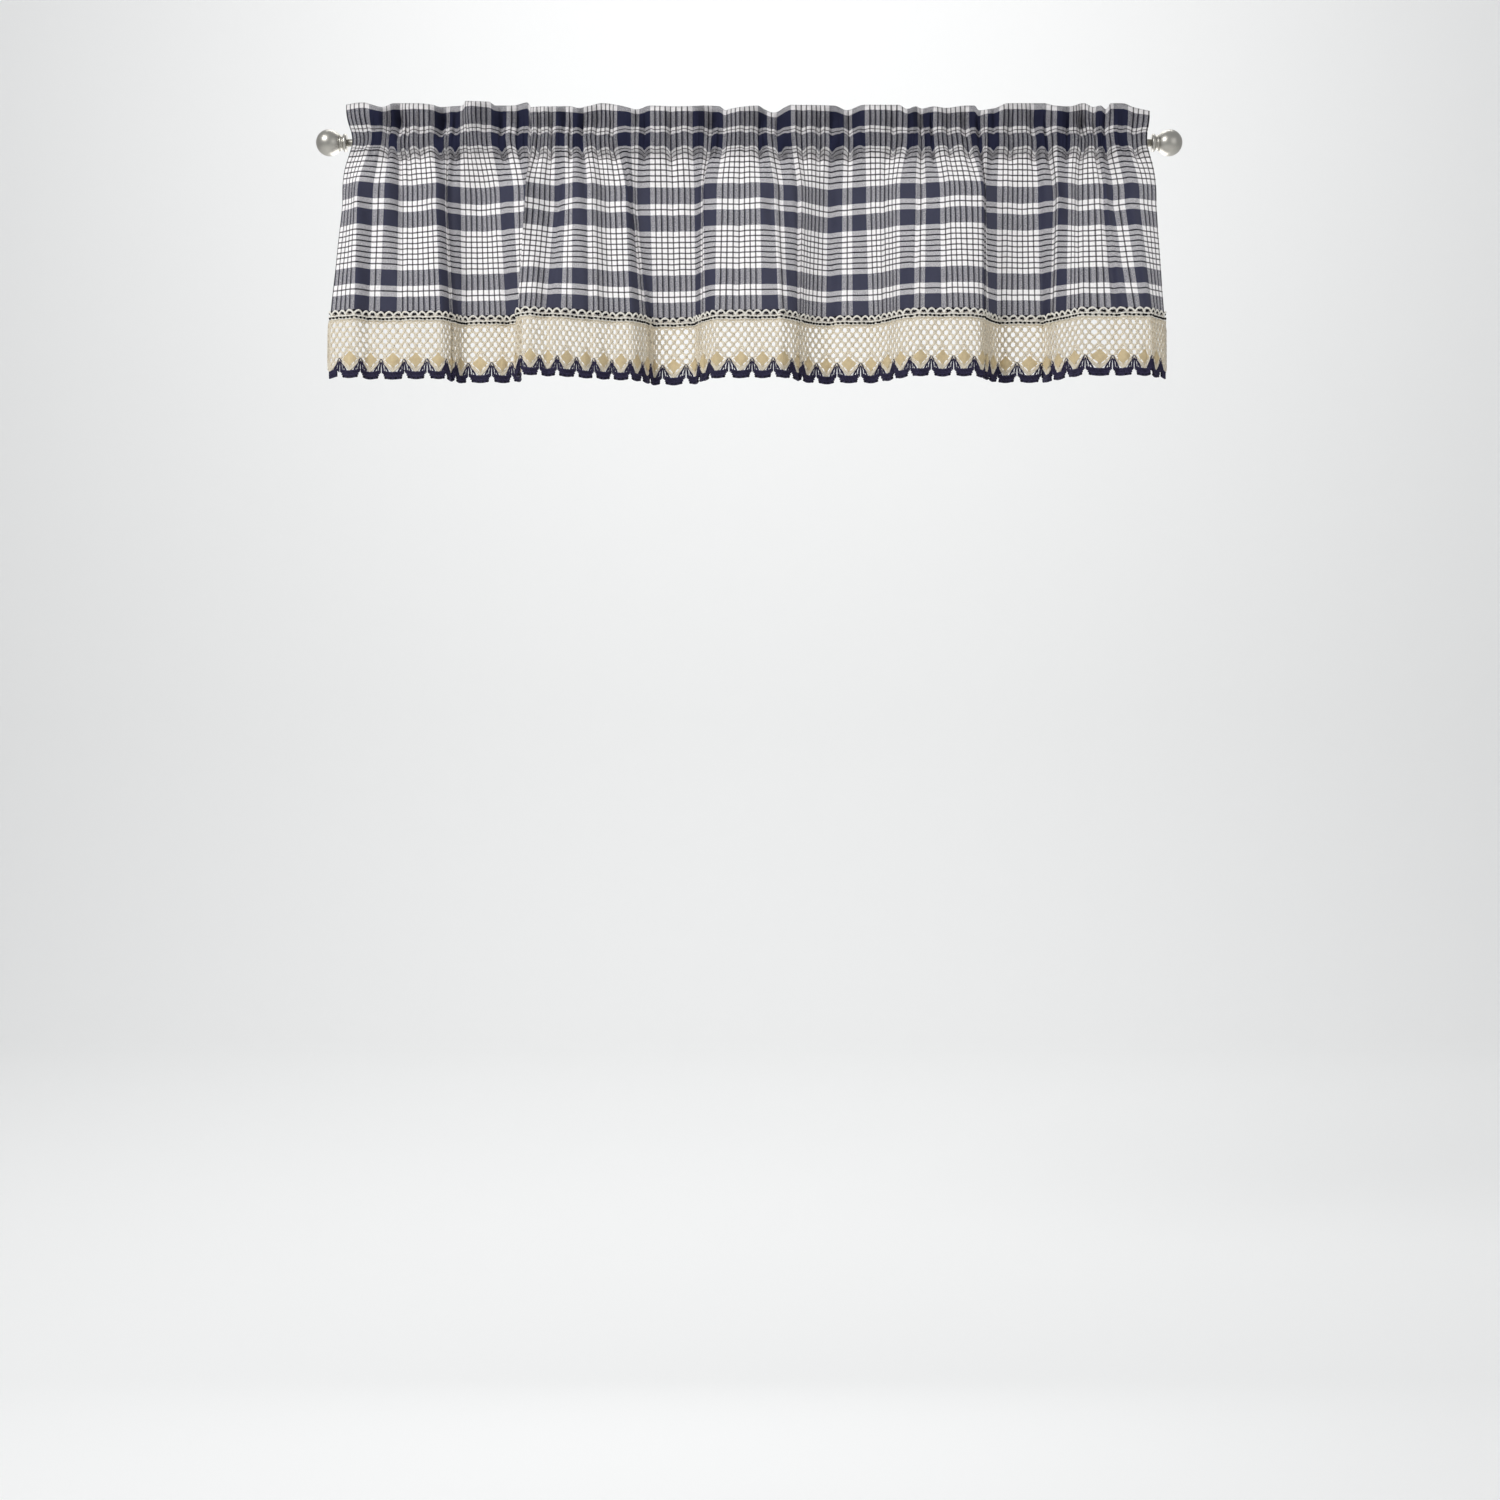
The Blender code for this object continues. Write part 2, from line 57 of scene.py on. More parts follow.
# One row a fold: the flat place in cells; the place along the rod in mm at the heading,
# half way down and at the hem; and the depth in mm, minus to the front, at the same heights.
FOLD_COLUMNS = ("cell", "x_head", "x_mid", "x_hem", "y_head", "y_mid", "y_hem")
FOLDS = (
    (-5.1, -519, -523, -537, -4, -10, -8),
    (-2.5, -504, -511, -521, -8, -18, -14),
    (0.0, -487, -500, -505, -9, -23, -16),
    (3.0, -471, -482, -488, -5, -22, -14),
    (5.5, -461, -464, -471, 3, -15, -10),
    (8.0, -452, -451, -453, 7, -6, -4),
    (10.0, -443, -440, -439, 0, 1, -2),
    (13.0, -425, -420, -418, -6, -7, -3),
    (16.0, -406, -401, -397, -1, -14, -4),
    (19.0, -392, -391, -387, 7, -7, 3),
    (21.0, -386, -389, -383, 3, 2, 10),
    (24.0, -371, -373, -373, -7, 8, 15),
    (28.0, -355, -347, -344, -13, 10, 16),
    (32.0, -332, -322, -316, -6, 2, 6),
    (35.0, -313, -303, -298, 4, -5, 1),
    (37.5, -298, -288, -293, 6, -10, -5),
    (40.0, -284, -283, -292, -2, -16, -14),
    (42.0, -277, -286, -295, -8, -25, -24),
    (45.0, -263, -269, -278, -8, -14, -26),
    (48.0, -249, -251, -259, 0, -2, -25),
    (51.0, -237, -236, -240, 4, -11, -25),
    (54.0, -222, -221, -220, 0, -19, -24),
    (57.0, -209, -201, -200, 7, -9, -14),
    (61.0, -186, -180, -175, 9, 8, 3),
    (64.0, -170, -159, -154, 2, 3, 13),
    (67.0, -152, -150, -142, -5, 7, 18),
    (69.0, -142, -145, -135, -2, 11, 21),
    (72.0, -127, -128, -125, -6, 11, 24),
    (76.0, -101, -99, -97, -9, 10, 25),
    (80.0, -73, -71, -70, -5, 7, 22),
    (83.0, -58, -62, -63, 0, 0, 13),
    (85.5, -46, -58, -55, 7, -8, 2),
    (88.5, -31, -38, -41, 5, -12, -8),
    (92.0, -12, -13, -13, -5, -15, -16),
    (96.0, 11, 14, 16, 5, -18, -20),
    (99.0, 23, 32, 37, 8, -9, -14),
    (102.0, 42, 50, 54, -2, -1, -2),
    (105.0, 60, 68, 66, -8, 2, 9),
    (108.0, 80, 81, 77, -7, 9, 17),
    (112.0, 103, 102, 100, 4, 12, 23),
    (116.0, 128, 127, 127, 7, 11, 20),
    (120.0, 149, 151, 155, -7, 6, 13),
    (124.0, 175, 174, 177, -10, -4, 1),
    (128.0, 203, 193, 193, -4, -15, -11),
    (132.0, 221, 220, 217, 4, -19, -21),
    (136.0, 237, 244, 245, 0, -20, -27),
    (140.0, 260, 268, 273, 3, -26, -31),
    (144.0, 285, 296, 298, 8, -22, -17),
    (147.0, 299, 303, 304, 2, -10, -6),
    (149.5, 308, 305, 310, -6, -1, 2),
    (153.0, 327, 327, 327, -6, 1, 10),
    (157.0, 351, 353, 355, 4, 7, 12),
    (160.5, 371, 376, 380, 6, 3, 9),
    (163.0, 383, 391, 389, -2, -5, 3),
    (165.5, 398, 396, 396, -7, -13, -3),
    (168.5, 415, 411, 409, -3, -9, -12),
    (172.0, 431, 428, 426, 6, -4, -22),
    (175.0, 443, 449, 453, 2, -20, -29),
    (179.0, 458, 468, 482, -6, -17, -30),
    (182.0, 474, 488, 504, -3, -21, -28),
    (185.0, 495, 506, 518, 1, -18, -20),
    (188.2, 517, 524, 533, 4, -11, -10),
)
LEFT_CELL, RIGHT_CELL = FOLDS[0][0], FOLDS[-1][0]

# The heading's top edge: the flat place in cells and its height above the rod in mm.
TOP_EDGE = (
    (-5.1, 49), (-1.3, 52), (0.7, 49), (2.8, 46), (6, 51), (12.8, 51), (15.7, 49), (17.5, 46),
    (21.7, 47), (24.7, 48), (26, 54), (31.5, 53), (33, 48), (36.2, 48), (39.5, 52), (41, 46),
    (44, 47), (52, 47), (54.6, 45), (57.8, 48), (60, 51), (64.7, 48), (68.4, 43), (72, 48),
    (77.6, 47), (83, 48), (87, 47), (88.6, 42), (90, 44), (95.8, 48), (98.3, 43), (100.4, 39),
    (102.7, 46), (104, 49), (113, 48), (115.7, 42), (119.8, 49), (126.3, 49), (127.8, 44),
    (130.5, 47), (132.5, 44), (136, 47), (139, 45), (143.4, 48), (145.2, 48), (146.4, 42),
    (151, 45), (153.9, 51), (162.5, 51), (164.6, 48), (167.8, 47), (172.6, 51), (175.2, 46),
    (177.2, 48), (179, 44), (180.3, 51), (183, 51), (185, 46), (188.2, 41),
)

# The main gathers under and over the stitches: the flat place in cells, the half width in
# cells, how deep in mm (minus is a ridge to the front) and how far down they run in mm.
GATHERS = (
    (2.2, 0.9, -1.6, 30), (5.0, 0.7, 2.2, 22), (8.3, 1.1, 4.6, 34), (10.6, 0.7, 2.6, 46),
    (13.2, 0.8, 2.4, 20), (17.8, 1.2, 4.8, 30), (20.0, 0.7, 2.0, 26), (22.8, 0.8, 3.6, 50),
    (28.0, 2.0, -1.8, 26), (34.0, 0.9, 3.2, 30), (37.4, 0.8, 2.2, 26), (40.8, 0.9, 3.8, 30),
    (43.6, 0.8, 3.6, 30), (46.6, 0.8, 3.0, 34), (49.4, 0.9, -1.8, 26), (52.6, 0.8, 2.6, 24),
    (55.6, 0.9, 3.6, 40), (59.4, 0.8, 2.8, 24), (62.6, 1.0, 3.4, 40), (66.0, 0.8, -1.6, 28),
    (70.6, 0.8, 2.2, 24), (76.0, 0.8, 3.0, 26), (80.0, 0.7, 1.8, 22), (84.6, 1.1, 4.2, 40),
    (88.2, 0.8, 2.6, 26), (92.0, 0.9, -1.6, 26), (96.4, 0.8, 3.0, 34), (101.4, 1.0, 4.0, 44),
    (106.2, 0.8, 2.6, 26), (109.6, 0.8, 2.8, 24), (112.6, 0.9, 3.2, 34), (116.4, 0.9, 3.4, 26),
    (121.0, 0.9, -1.6, 28), (125.4, 0.8, 3.2, 28), (128.4, 0.8, 2.6, 26), (132.2, 0.8, 3.0, 40),
    (135.4, 0.8, 3.2, 26), (139.4, 0.8, 2.4, 22), (143.0, 0.9, 3.8, 38), (146.4, 0.9, 3.8, 44),
    (150.8, 0.8, 3.0, 24), (154.4, 0.9, 3.0, 22), (159.6, 0.9, 3.4, 36), (163.0, 0.9, 3.2, 40),
    (167.4, 0.9, 3.4, 28), (171.4, 1.0, 4.0, 40), (175.4, 0.8, 2.6, 40), (178.8, 0.9, 3.8, 40),
    (182.0, 0.8, -1.6, 26), (185.4, 0.8, 2.6, 24),
)

# Long creases from the stitches to the hem: flat place in cells at the top and at the hem,
# half width in cells, depth in mm.
LONG_CREASES = (
    (3.4, 3.0, 0.8, 1.0), (8.4, 8.8, 0.7, 1.6), (20.6, 19.5, 0.6, 2.8), (22.8, 23.6, 0.8, -1.4),
    (32.4, 32.2, 0.7, 1.4), (40.8, 40.4, 0.5, 2.0), (49.2, 48.4, 0.7, 1.2), (55.6, 56.4, 0.7, 1.6),
    (64.0, 69.4, 0.6, 3.0), (76.2, 75.6, 0.8, 1.0), (84.6, 83.3, 0.5, 2.8), (92.4, 91.6, 0.7, 1.2),
    (99.0, 99.4, 0.6, -1.6), (103.8, 104.3, 0.5, 2.6), (112.4, 112.8, 0.8, 1.2),
    (124.2, 122.6, 0.6, 1.6), (132.4, 130.6, 0.6, 2.0), (136.6, 136.4, 0.8, 1.2),
    (146.4, 145.8, 0.5, 2.8), (152.6, 152.2, 0.8, 1.2), (160.0, 160.6, 0.6, 1.6),
    (163.2, 163.6, 0.5, 2.6), (171.2, 170.6, 0.7, 1.4), (175.4, 177.0, 0.6, 2.0),
    (180.8, 181.6, 0.7, 1.2),
)


def column(name):
    """One column of the table of folds."""
    return np.array([row[FOLD_COLUMNS.index(name)] for row in FOLDS], float)


def smooth_curve(at, knots, values):
    """A monotone cubic through the values: it turns only where they do."""
    step = np.diff(knots)
    slope = np.diff(values) / step
    same = slope[:-1] * slope[1:] > 0
    near = np.where(same, slope[:-1], 1.0)
    far = np.where(same, slope[1:], 1.0)
    inner = np.where(same, 2 / (1 / near + 1 / far), 0.0)
    bend = np.concatenate([[slope[0]], inner, [slope[-1]]])
    i = np.clip(np.searchsorted(knots, at, side="right") - 1, 0, len(step) - 1)
    t = (at - knots[i]) / step[i]
    a = (1 + 2 * t) * (1 - t) ** 2
    b = t * t * (3 - 2 * t)
    c = t * (1 - t) ** 2
    d = t * t * (t - 1)
    return a * values[i] + b * values[i + 1] + step[i] * (c * bend[i] + d * bend[i + 1])


def even_depth(x, hint, hold):
    """Depths near the table's that give each flank its own flat width of cloth: a flank of
    flat width s that spans dx runs sqrt(s^2 - dx^2) in depth, fitted by least squares."""
    flat = np.diff(column("cell")) * CHECK * 1000
    run = np.sqrt(np.maximum(flat**2 - np.diff(x) ** 2, 0)) * np.sign(np.diff(hint))
    n = len(x)
    rise = np.eye(n)[1:] - np.eye(n)[:-1]
    left = rise.T @ rise + hold * np.eye(n)
    return np.linalg.solve(left, rise.T @ run + hold * hint)


FIELD = {}
for level, hold in (("head", 0.6), ("mid", 0.35), ("hem", 0.25)):
    x_knots = column("x_" + level)
    y_knots = even_depth(x_knots, column("y_" + level), hold)
    FIELD[level] = (x_knots / 1000, y_knots / 1000)


def at_level(level, u):
    """Place along the rod and depth at one of the three heights."""
    x, y = FIELD[level]
    cells = column("cell")
    return smooth_curve(u, cells, x), smooth_curve(u, cells, y)


def ramp(t):
    """0 to 1 with soft ends: t^2 (3 - 2t)."""
    t = np.clip(t, 0, 1)
    return t * t * (3 - 2 * t)


SIDE_CELLS = 8  # how far in from a side edge the pocket pulls the cloth
SIDE_PULL = (0.010, -0.0065)  # and how far it pulls the left and the right edge
PANEL_PINCH = 0.28  # the share of the panel's depth that is left at the stitches
HEADING_PINCH = 0.30  # and of the heading's depth
FRONT_ARCH, BACK_ARCH = 0.6, 0.5  # powers of the pocket's arches, flatter when lower
LEAST_OPEN = 0.0035  # how far a layer of the pocket stands off its folds at least
OPEN_WAVE = 0.0014  # and how much a wave along the cloth adds on average


def bell(t):
    """1 at 0 and fading both ways: exp(-t^2)."""
    return np.exp(-(t**2))


def drawn_in(u, z):
    """How far the pocket draws the two side edges in: a bell in height, fading inwards."""
    left = 1 - ramp((u - LEFT_CELL) / SIDE_CELLS)
    right = 1 - ramp((RIGHT_CELL - u) / SIDE_CELLS)
    return bell((z + 0.002) / 0.026) * (SIDE_PULL[0] * left + SIDE_PULL[1] * right)


def pocket_swell(z):
    """0 at both rows of stitches and outside them, 1 half way between."""
    middle = 0.5 * (STITCH_TOP_Z + STITCH_LOW_Z)
    half = 0.5 * (STITCH_TOP_Z - STITCH_LOW_Z)
    return np.clip(1 - ((z - middle) / half) ** 2, 0, 1)


def below_middle(z):
    """0 down to the middle columns' height, 1 at the hem columns', a little more below."""
    return np.clip((MID_Z - z) / HEM_SPAN, 0, 1.25)


def fold_depth(u, z):
    """The folds' depth before the rod opens the pocket: the three levels blended by height."""
    yh, ym, yl = (at_level(level, u)[1] for level in ("head", "mid", "hem"))
    hang = PANEL_PINCH * ym + (ym - PANEL_PINCH * ym) * ramp((STITCH_LOW_Z - z) / 0.070)
    hang = hang + (yl - ym) * below_middle(z)
    ruffle = HEADING_PINCH * yh + (1 - HEADING_PINCH) * yh * ramp((z - STITCH_TOP_Z) / 0.022)
    mix = ramp((z - STITCH_LOW_Z) / (STITCH_TOP_Z - STITCH_LOW_Z))
    return hang * (1 - mix) + ruffle * mix


def opened(room, u, cells, turn):
    """How far a layer of the pocket stands off its folds: the room beside the rod, and a
    wave along the cloth that repeats every so many cells."""
    return np.maximum(room, LEAST_OPEN) + OPEN_WAVE * (1 + np.sin(2 * np.pi * u / cells + turn))


def front_xy(u, z):
    """The front layer without its creases: place along the rod from the three levels, and
    depth; over the rod it is a flattened arch between the stitches."""
    xh, xm, xl = (at_level(level, u)[0] for level in ("head", "mid", "hem"))
    down = ramp((STITCH_TOP_Z - z) / 0.080)
    x = (1 - down) * xh + down * (xm + (xl - xm) * below_middle(z))
    y = fold_depth(u, z)
    open_by = opened(POCKET_REACH + y, u, 5.6, 0.0)
    return x + drawn_in(u, z), y - open_by * pocket_swell(z) ** FRONT_ARCH


def back_xy(u, z):
    """The pocket's back layer, an arch behind the rod between the same stitches."""
    y = fold_depth(u, z)
    open_by = opened(POCKET_REACH - y, u, 4.7, 1.0)
    return front_xy(u, z)[0], y + open_by * pocket_swell(z) ** BACK_ARCH


def near_stitches(z, below, above, power=1.0):
    """1 between the rows of stitches, fading over the given heights below and above them:
    exp(-(distance / height)^power)."""
    down = np.clip(STITCH_LOW_Z - z, 0, 1) / below
    up = np.clip(z - STITCH_TOP_Z, 0, 1) / above
    return np.exp(-(down**power) - up**power)


def gathered(u, z, grow):
    """How far the gathers draw a place in: a sharp bell across each gather, which fades
    below the stitches and stays up through the heading; grow stretches the bells sideways."""
    out = np.zeros(np.broadcast(u, z).shape)
    for cell, half, deep, reach in GATHERS:
        away = (u - cell) / (half * grow)
        sharp = np.exp(1 - np.sqrt(1 + 3 * away**2))
        out = out + deep / 1000 * sharp * near_stitches(z, reach / 1000, np.inf, 1.4)
    return out


def long_creases(u, z):
    """The long creases, each a groove with a lower ridge beside it, from just under the rod."""
    out = 0 * (u + z)
    for high, low, half, deep in LONG_CREASES:
        line = high + (low - high) * np.clip((STITCH_LOW_Z - z) / 0.20, 0, 1)
        away = (u - line) / half
        out = out + 0.0018 * deep * (bell(away) - 0.55 * bell(away - 1.9))
    return out * ramp((-0.004 - z) / 0.03)


def puckers(u):
    """The ruching at the stitches, as distance to the front: sharp puckers about 2 cells
    apart, |sin| to the 0.7, at places that wander, and finer ones on them."""
    wander = u + 0.8 * np.sin(u * 0.53) + 0.5 * np.sin(u * 1.31) + 0.3 * np.sin(u * 0.23 + 1)
    sharp = np.abs(np.sin(np.pi * wander / 2.1)) ** 0.7 - 0.6
    fine = np.sin(2 * np.pi * (wander / 1.15 + 0.2 * np.sin(u * 0.9)))
    return 0.0036 * sharp + 0.0015 * fine + 0.0014


def creases(u, z):
    """Small folds, as distance to the back: the gathers, the puckers and the long creases.
    Over the rod the gathers are shallow, so that the cloth clears it; between gathers the
    cloth passes the lower stitches in one smooth hang."""
    swell = pocket_swell(z)
    over_rod = swell**0.7
    heading = 1.5 * ramp((z - STITCH_TOP_Z) / 0.014) - 1.8 * ramp((z - 0.030) / 0.018)
    gather = gathered(u, z, 1.0) * (1 - 0.75 * over_rod) * (1 + heading)
    narrow = np.clip(gathered(u, z, 1.6) / 0.0026, 0, 1)
    strength = near_stitches(z, 0.012, 0.022) * (1 - 0.45 * over_rod) * (0.45 + 0.55 * narrow)
    hang = (0.0088 - 0.0048 * (z > 0)) * (1 - swell**FRONT_ARCH) * near_stitches(z, 0.032, 0.016, 1.5)
    soft = 0.0006 * np.sin(u * 1.7 + 90 * z) * ramp((STITCH_LOW_Z - z) / 0.05)
    return gather + long_creases(u, z) - puckers(u) * strength - hang * (1 - narrow) + soft


def weft_sag(u, z):
    """How far the weft hangs below its level: pulled down in a sharp point at every gather of
    the lower stitches, less at the upper ones, with a small ripple between."""
    low, top = bell((z + 0.0075) / 0.010), bell((z - STITCH_TOP_Z) / 0.010)
    ripple = np.sin(u * 1.9) + 0.6 * np.sin(u * 3.1 + 1)
    pull = np.clip(gathered(u, 0 * z, 0.9) / 0.0034, 0, 1) ** 1.4
    return (0.0080 * low + 0.0030 * top) * pull + 0.0005 * (low + top) * ripple


def front_creased(u, z):
    """The front layer with its creases."""
    x, y = front_xy(u, z)
    return x, y + creases(u, z)


def back_creased(u, z):
    """The pocket's back layer: the same creases at the stitches, fainter ones between."""
    x, y = back_xy(u, z)
    return x, y + (1 - 0.5 * pocket_swell(z)) * creases(u, z)


def together(*values):
    """Arrays broadcast to one shape, as the last axis of one array."""
    return np.stack(np.broadcast_arrays(*values), axis=-1)


def frame_on(layer, u, z):
    """Points of a layer, let down by the weft's sag, and their unit normals, which point to
    the back and come from central differences."""
    du, dz = 0.2, 0.001
    xa, ya = layer(u - du, z)
    xb, yb = layer(u + du, z)
    xc, yc = layer(u, z - dz)
    xd, yd = layer(u, z + dz)
    normal = np.cross(together(xd - xc, yd - yc, 2 * dz), together(xb - xa, yb - ya, 0.0))
    normal /= np.linalg.norm(normal, axis=-1, keepdims=True)
    x, y = layer(u, z)
    return together(x, y, z - weft_sag(u, z)), normal


def laid(layer, u, z, out):
    """Points of a layer moved by out along the normal, minus to the front."""
    u, z, out = np.broadcast_arrays(u, z, out)
    points, normal = frame_on(layer, u, z)
    return points + normal * out[..., None]


def grid_faces(rows, columns, wrap=False):
    """Quads of a grid of points stored row by row; wrap joins the last column to the first."""
    r = np.arange(rows - 1)[:, None]
    c = np.arange(columns if wrap else columns - 1)[None, :]
    d = (c + 1) % columns
    quads = [r * columns + c, r * columns + d, (r + 1) * columns + d, (r + 1) * columns + c]
    return np.stack([q + 0 * (r + c) for q in quads], axis=-1).reshape(-1, 4)


def in_scene(name, data):
    """A new object of some data, linked to the scene."""
    made = bpy.data.objects.new(name, data)
    bpy.context.scene.collection.objects.link(made)
    return made


def smooth_mesh(name, points, faces, material, flat=None):
    """A smooth mesh from arrays, with an optional flat layout in metres as its UV map."""
    mesh = bpy.data.meshes.new(name)
    points = np.asarray(points, np.float32).reshape(-1, 3)
    faces = np.asarray(faces, np.int32)
    mesh.vertices.add(len(points))
    mesh.vertices.foreach_set("co", points.ravel())
    mesh.loops.add(faces.size)
    mesh.loops.foreach_set("vertex_index", faces.ravel())
    mesh.polygons.add(len(faces))
    mesh.polygons.foreach_set("loop_start", np.arange(len(faces), dtype=np.int32) * faces.shape[1])
    mesh.update(calc_edges=True)
    mesh.polygons.foreach_set("use_smooth", np.ones(len(faces), bool))
    if flat is not None:
        corners = np.asarray(flat, np.float32).reshape(-1, 2)[faces.ravel()]
        mesh.uv_layers.new(name="flat").data.foreach_set("uv", corners.ravel())
    mesh.validate()
    mesh.materials.append(material)
    return in_scene(name, mesh)


def add_piece(*args):
    """A smooth mesh that belongs to the part."""
    piece = smooth_mesh(*args)
    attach(piece, "root")
    return piece


def linear(code):
    """An sRGB hex colour as the linear colour that a shader takes."""
    part = np.array([int(code[i : i + 2], 16) for i in (1, 3, 5)]) / 255
    flat = np.where(part <= 0.04045, part / 12.92, ((part + 0.055) / 1.055) ** 2.4)
    return (*(float(c) for c in flat), 1.0)


def new_material(name):
    """A material with an empty node tree and its output."""
    material = bpy.data.materials.new(name)
    material.use_nodes = True
    material.node_tree.nodes.clear()
    return material, material.node_tree, material.node_tree.nodes.new("ShaderNodeOutputMaterial")


def add_node(tree, kind, inputs=None, **settings):
    """Adds a node, sets its properties and feeds its inputs, by name or number, each with a
    socket to link or a value to set. Gives the node's outputs."""
    made = tree.nodes.new(kind)
    for key, value in settings.items():
        setattr(made, key, value)
    for key, value in (inputs or {}).items():
        if isinstance(value, bpy.types.NodeSocket):
            tree.links.new(value, made.inputs[key])
        else:
            made.inputs[key].default_value = value
    return made.outputs


def calc(tree, operation, *inputs, **settings):
    """A math node on sockets and numbers."""
    return add_node(tree, "ShaderNodeMath", dict(enumerate(inputs)), operation=operation, **settings)[0]


def noise(tree, place, scale, detail):
    """A noise at a place."""
    return add_node(tree, "ShaderNodeTexNoise", {"Vector": place, "Scale": scale, "Detail": detail})[0]


def spread(tree, *inputs):
    """A value mapped linearly: the value, its low and high ends, and what these become."""
    return add_node(tree, "ShaderNodeMapRange", dict(enumerate(inputs)))[0]


def mixed_colour(tree, share, first, second, kind="MIX"):
    """Two colours mixed by a share from 0 to 1."""
    inputs = {0: share, 6: first, 7: second}
    return add_node(tree, "ShaderNodeMix", inputs, data_type="RGBA", blend_type=kind)[2]


def raised(tree, height, strength, distance):
    """The normal of a bump that is the given distance high in metres."""
    inputs = {"Height": height, "Strength": strength, "Distance": distance}
    return add_node(tree, "ShaderNodeBump", inputs)[0]


def cotton_surface(tree, output, colour, passed, normal, sheer, more):
    """Matte cotton that lets the share sheer of the light through, in the colour passed."""
    inputs = {"Base Color": colour, "Normal": normal, "Specular IOR Level": 0.25, **more}
    face = add_node(tree, "ShaderNodeBsdfPrincipled", inputs)[0]
    if sheer:
        glow = add_node(tree, "ShaderNodeBsdfTranslucent", {"Color": passed, "Normal": normal})[0]
        face = add_node(tree, "ShaderNodeMixShader", {0: sheer, 1: face, 2: glow})[0]
    tree.links.new(face, output.inputs[0])


# Plain-weave cotton, dyed in the yarn: matte, soft and a little sheer. Warp and weft carry the
# same order of coloured yarns over 16 cells: 3 navy, 2 white with a dark pin line, 3 navy, and
# 8 white crossed by 7 dark pin lines. Where they differ their colours mix thread by thread.
REPEAT = 16
PIN_CELLS = (4, *range(9, 16))
THREADS_A_CELL = 10  # 0.7 mm a thread, drawn a little coarser than the real 0.45 mm
NAVY_YARN = "#262943"
WHITE_YARN = "#fffcfc"
PIN_YARN = "#140f16"
PIN_HALF = 0.125  # half a pin line, in cells
WARP_SHOULDER, WEFT_SHOULDER = 0.18, 0.06  # beside a pin, in cells
WARP_ABOVE = 0.10  # past 0 the warp covers less than half of the crossings
YARN_BELOW = (0.08, 0.40)  # the least and the most that the yarn below shows
PIN_BELOW = 0.46  # how much more it shows at a pin


def yarn_order(shoulder):
    """(share of the repeat, yarn, weight) stops of one repeat of the check, in order. A pin
    has weight 1, and so has the shoulder beside it, where the crossing yarn covers it."""
    stops = [(0, NAVY_YARN, 0), (3, WHITE_YARN, 0), (5, NAVY_YARN, 0), (8, WHITE_YARN, 0)]
    for pin in PIN_CELLS:
        stops.append((pin - PIN_HALF, PIN_YARN, 1))
        stops.append((pin + PIN_HALF, WHITE_YARN, 1))
        stops.append((pin + PIN_HALF + shoulder, WHITE_YARN, 0))
    return [(cell / REPEAT, yarn, weight) for cell, yarn, weight in sorted(stops)]


def yarn_ramp(tree, source, shoulder):
    """The colour of the yarn at a flat place: the place over one repeat, wrapped, on a ramp.
    The ramp's alpha is the weight of the pins."""
    wrapped = calc(tree, "FRACT", calc(tree, "MULTIPLY", source, 1 / (REPEAT * CHECK)))
    outputs = add_node(tree, "ShaderNodeValToRGB", {0: wrapped})
    bar = outputs[0].node.color_ramp
    bar.interpolation = "CONSTANT"
    bar.elements.remove(bar.elements[-1])
    for k, (place, yarn, weight) in enumerate(yarn_order(shoulder)):
        stop = bar.elements[0] if k == 0 else bar.elements.new(place)
        stop.position = place
        stop.color = (*linear(yarn)[:3], weight)
    return outputs


def plaid_cotton():
    """The plaid's material: warp or weft on top, thread by thread, by the sign of the product
    of their waves, darkened where the yarn below shows through."""
    material, tree, output = new_material("plaid_cotton")
    layout = add_node(tree, "ShaderNodeUVMap", uv_map="flat")[0]
    split = add_node(tree, "ShaderNodeSeparateXYZ", {0: layout})
    threads = float(np.pi * THREADS_A_CELL / CHECK)
    waves = [calc(tree, "SINE", calc(tree, "MULTIPLY", split[axis], threads)) for axis in (0, 1)]
    over = calc(tree, "MULTIPLY", *waves)
    warp = yarn_ramp(tree, split[0], WARP_SHOULDER)
    weft = yarn_ramp(tree, split[1], WEFT_SHOULDER)
    woven = mixed_colour(tree, calc(tree, "GREATER_THAN", over, WARP_ABOVE), weft[0], warp[0])
    darker = mixed_colour(tree, 1.0, warp[0], weft[0], "DARKEN")
    heather = add_node(tree, "ShaderNodeMapping", {"Vector": layout, "Scale": (1500, 700, 1)})[0]
    showing = spread(tree, noise(tree, heather, 1.0, 2.0), 0.3, 0.7, *YARN_BELOW)
    pin = calc(tree, "MAXIMUM", warp[1], weft[1])
    thick = calc(tree, "MULTIPLY_ADD", pin, PIN_BELOW, showing, use_clamp=True)
    through = mixed_colour(tree, thick, woven, darker)
    slubs = spread(tree, noise(tree, layout, 420.0, 3.0), 0.25, 0.75, 0.86, 1.06)
    tinted = mixed_colour(tree, 1.0, through, slubs, "MULTIPLY")
    passed = mixed_colour(tree, 0.10, tinted, linear(WHITE_YARN))
    normal = raised(tree, calc(tree, "ABSOLUTE", over), 0.35, 0.0002)
    cotton_surface(tree, output, tinted, passed, normal, 0.26, {"Roughness": 0.88, "IOR": 1.45})
    return material


def arch_places(count):
    """Heights between the stitches, evenly spaced along the arch of the pocket's front."""
    z = np.linspace(STITCH_LOW_Z, STITCH_TOP_Z, 400)
    y = POCKET_REACH * pocket_swell(z) ** FRONT_ARCH
    run = np.concatenate([[0], np.cumsum(np.hypot(np.diff(z), np.diff(y)))])
    return np.interp(np.linspace(0, run[-1], count), run, z)


